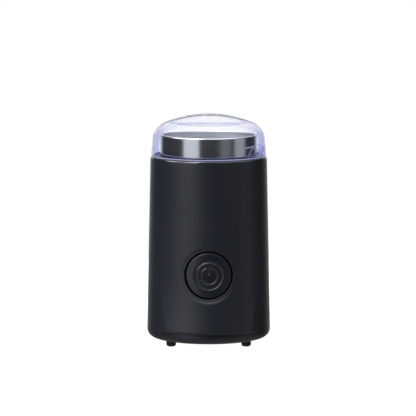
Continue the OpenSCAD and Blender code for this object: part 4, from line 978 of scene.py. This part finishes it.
def lid_rings(skin):
    """Rings of the lid's outside or inside, from the middle of the step out over the crown and down."""
    floor_z, wall_y = step_z - min(skin, step_floor), step_y + skin
    front_r = sqrt((crown_r - skin) ** 2 - (floor_z - crown_z) ** 2)
    corner_turn = acos(-wall_y / front_r)
    corner_x = front_r * sin(corner_turn)
    middle_y = (wall_y - front_r) / 2
    foot = []

    def top(x, y, lip_x, in_wall):
        """Height of the crown, whose inside is raised behind the step's lip, where the wall is thinner."""
        thin = in_wall * smooth((corner_x - abs(lip_x)) / lip_run) * (1 - smooth((y - wall_y) / thin_run))
        return crown_height(x, y, skin - max(skin - lip_wall, 0) * thin)

    for turn in lid_turns:
        if abs(turn) <= corner_turn:
            x, y = front_r * sin(turn), -front_r * cos(turn)
        else:
            x, y = corner_x * (pi - abs(turn)) / (pi - corner_turn), wall_y
            x = x if turn > 0 else -x
        in_wall = abs(turn) > corner_turn
        soft = min(step_round, 0.45 * (top(x, y, x, in_wall) - floor_z))
        foot.append((x, y, max(soft, 0), in_wall))
    rings = [[Vector((x * share, middle_y + (y - soft - middle_y) * share, floor_z))
              for x, y, soft, _ in foot] for share in (0, 0.3, 0.6, 0.85)]
    bends = [radians(a) for a in (0, 22.5, 45, 67.5, 90)]
    rings += [[Vector((x, y - soft * (1 - sin(a)), floor_z + soft * (1 - cos(a))))
               for x, y, soft, _ in foot] for a in bends]
    rings += [[Vector((x, y + soft * (1 - cos(a)), top(x, y + soft, x, in_wall) - soft * (1 - sin(a))))
               for x, y, soft, in_wall in foot] for a in bends]
    join_r = (crown_r - skin) * cos(crown_end)
    for share in steps_between(0, 1, 14):
        ring = []
        for (lip_x, y, soft, in_wall), turn in zip(foot, lid_turns):
            x = lip_x + (join_r * sin(turn) - lip_x) * share
            y = (y + soft) + (-join_r * cos(turn) - y - soft) * share
            ring.append(Vector((x, y, top(x, y, lip_x, in_wall))))
        rings.append(ring)
    around = [(shoulder_x + (shoulder - skin) * cos(a), shoulder_z + (shoulder - skin) * sin(a))
              for a in steps_between(crown_end, 0, 16)]
    rim = outer_rim_round if skin == 0 else inner_rim_round
    flare = (lid_edge_r - lid_side_r) / (shoulder_z - lid_low.z)
    for share in steps_between(0, 1, 8):
        z = shoulder_z + (lid_low.z + rim - shoulder_z) * share
        around.append((lid_side_r - skin + flare * (shoulder_z - z), z))
    edge_far, outward = around[-1][0], 1 if skin == 0 else -1
    around += [(edge_far - outward * rim * (1 - cos(a)), lid_low.z + rim * (1 - sin(a)))
               for a in steps_between(0, pi / 2, 4)]
    return rings + [[at_turn(turn, far, z) for turn in lid_turns] for far, z in around]


form = bmesh.new()
outer = lay_rows(form, lid_rings(0))
inner = lay_rows(form, lid_rings(lid_wall))
join_loops(form, outer[-1], inner[-1])

# The pad stands in the right wall, with narrow edges, ends that lean in and a rib for the safety pin. The
# moulding's gate is a small disc below the middle of the crown.
pad_r = 39.1 * mm
pad_low = lid_low.z + 1.2 * mm
pad_high = pad_low + 6 * mm
pad_edge = 0.4 * mm
pad_half = 27 * mm
pad_lean = 0.5
pad_back = 40.5 * mm
pad_tip = 0.985
pad_section = [(pad_back, pad_low), (pad_r + pad_edge, pad_low), (pad_r, pad_low + pad_edge),
               (pad_r, pad_high - pad_edge), (pad_r + pad_edge, pad_high), (pad_back, pad_high)]
sections = []
for share in [-1, -pad_tip] + steps_between(-pad_tip, pad_tip, 40) + [1]:
    section = []
    for far, z in pad_section:
        y = share * (pad_half - pad_lean * (z - pad_low))
        far = max(far, pad_r + pad_edge) if abs(share) == 1 else far
        section.append(Vector((sqrt(far * far - y * y), y, z)))
    sections.append(section)
pad_grid = lay_rows(form, sections)
form.faces.new(pad_grid[0])
form.faces.new(pad_grid[-1])
pusher_in = 36.7 * mm
pusher_half = 2.5 * mm
lay_block(form, (pusher_in, -pusher_half, pad_low), (pad_r + 0.2 * mm, pusher_half, pad_high), round_edge)
gate_r = 1.8 * mm
gate_edge = 0.3 * mm
gate_low = lid_high.z - lid_wall - 0.9 * mm
gate_high = gate_low + 1 * mm
lay_turned(form, [(0, gate_low), (gate_r - gate_edge, gate_low), (gate_r, gate_low + gate_edge),
                  (gate_r, gate_high), (0, gate_high)], upright_at(0, 0))

glow_rim_h = 0.75 * mm


def takes_painted_glow(point):
    """True on the rim's round edge, the step's foot and the pad's narrow edges, which get the painted glow.
    """
    far = hypot(point.x, point.y)
    rim = point.z < lid_low.z + glow_rim_h
    on_foot = step_y - step_round < point.y < step_y and step_z < point.z < step_z + step_round
    in_pad = pad_low < point.z < pad_high + 0.1 * mm and pad_r < far < pad_r + pad_edge
    pad_end = in_pad and abs(point.y) > pad_tip * (pad_half - pad_lean * (point.z - pad_low))
    pad_top = in_pad and point.z > pad_high - pad_edge
    return rim or on_foot or pad_end or pad_top


# These faces get the painted edge glow.
for face in form.faces:
    face.material_index = 1 if takes_painted_glow(face.calc_center_median()) else 0
lid_shell = make_piece(form, "lid_shell", "lid", clear_plastic, "clear_lid", "lid", sharp=40)
lid_shell.data.materials.append(painted_edge_glow)
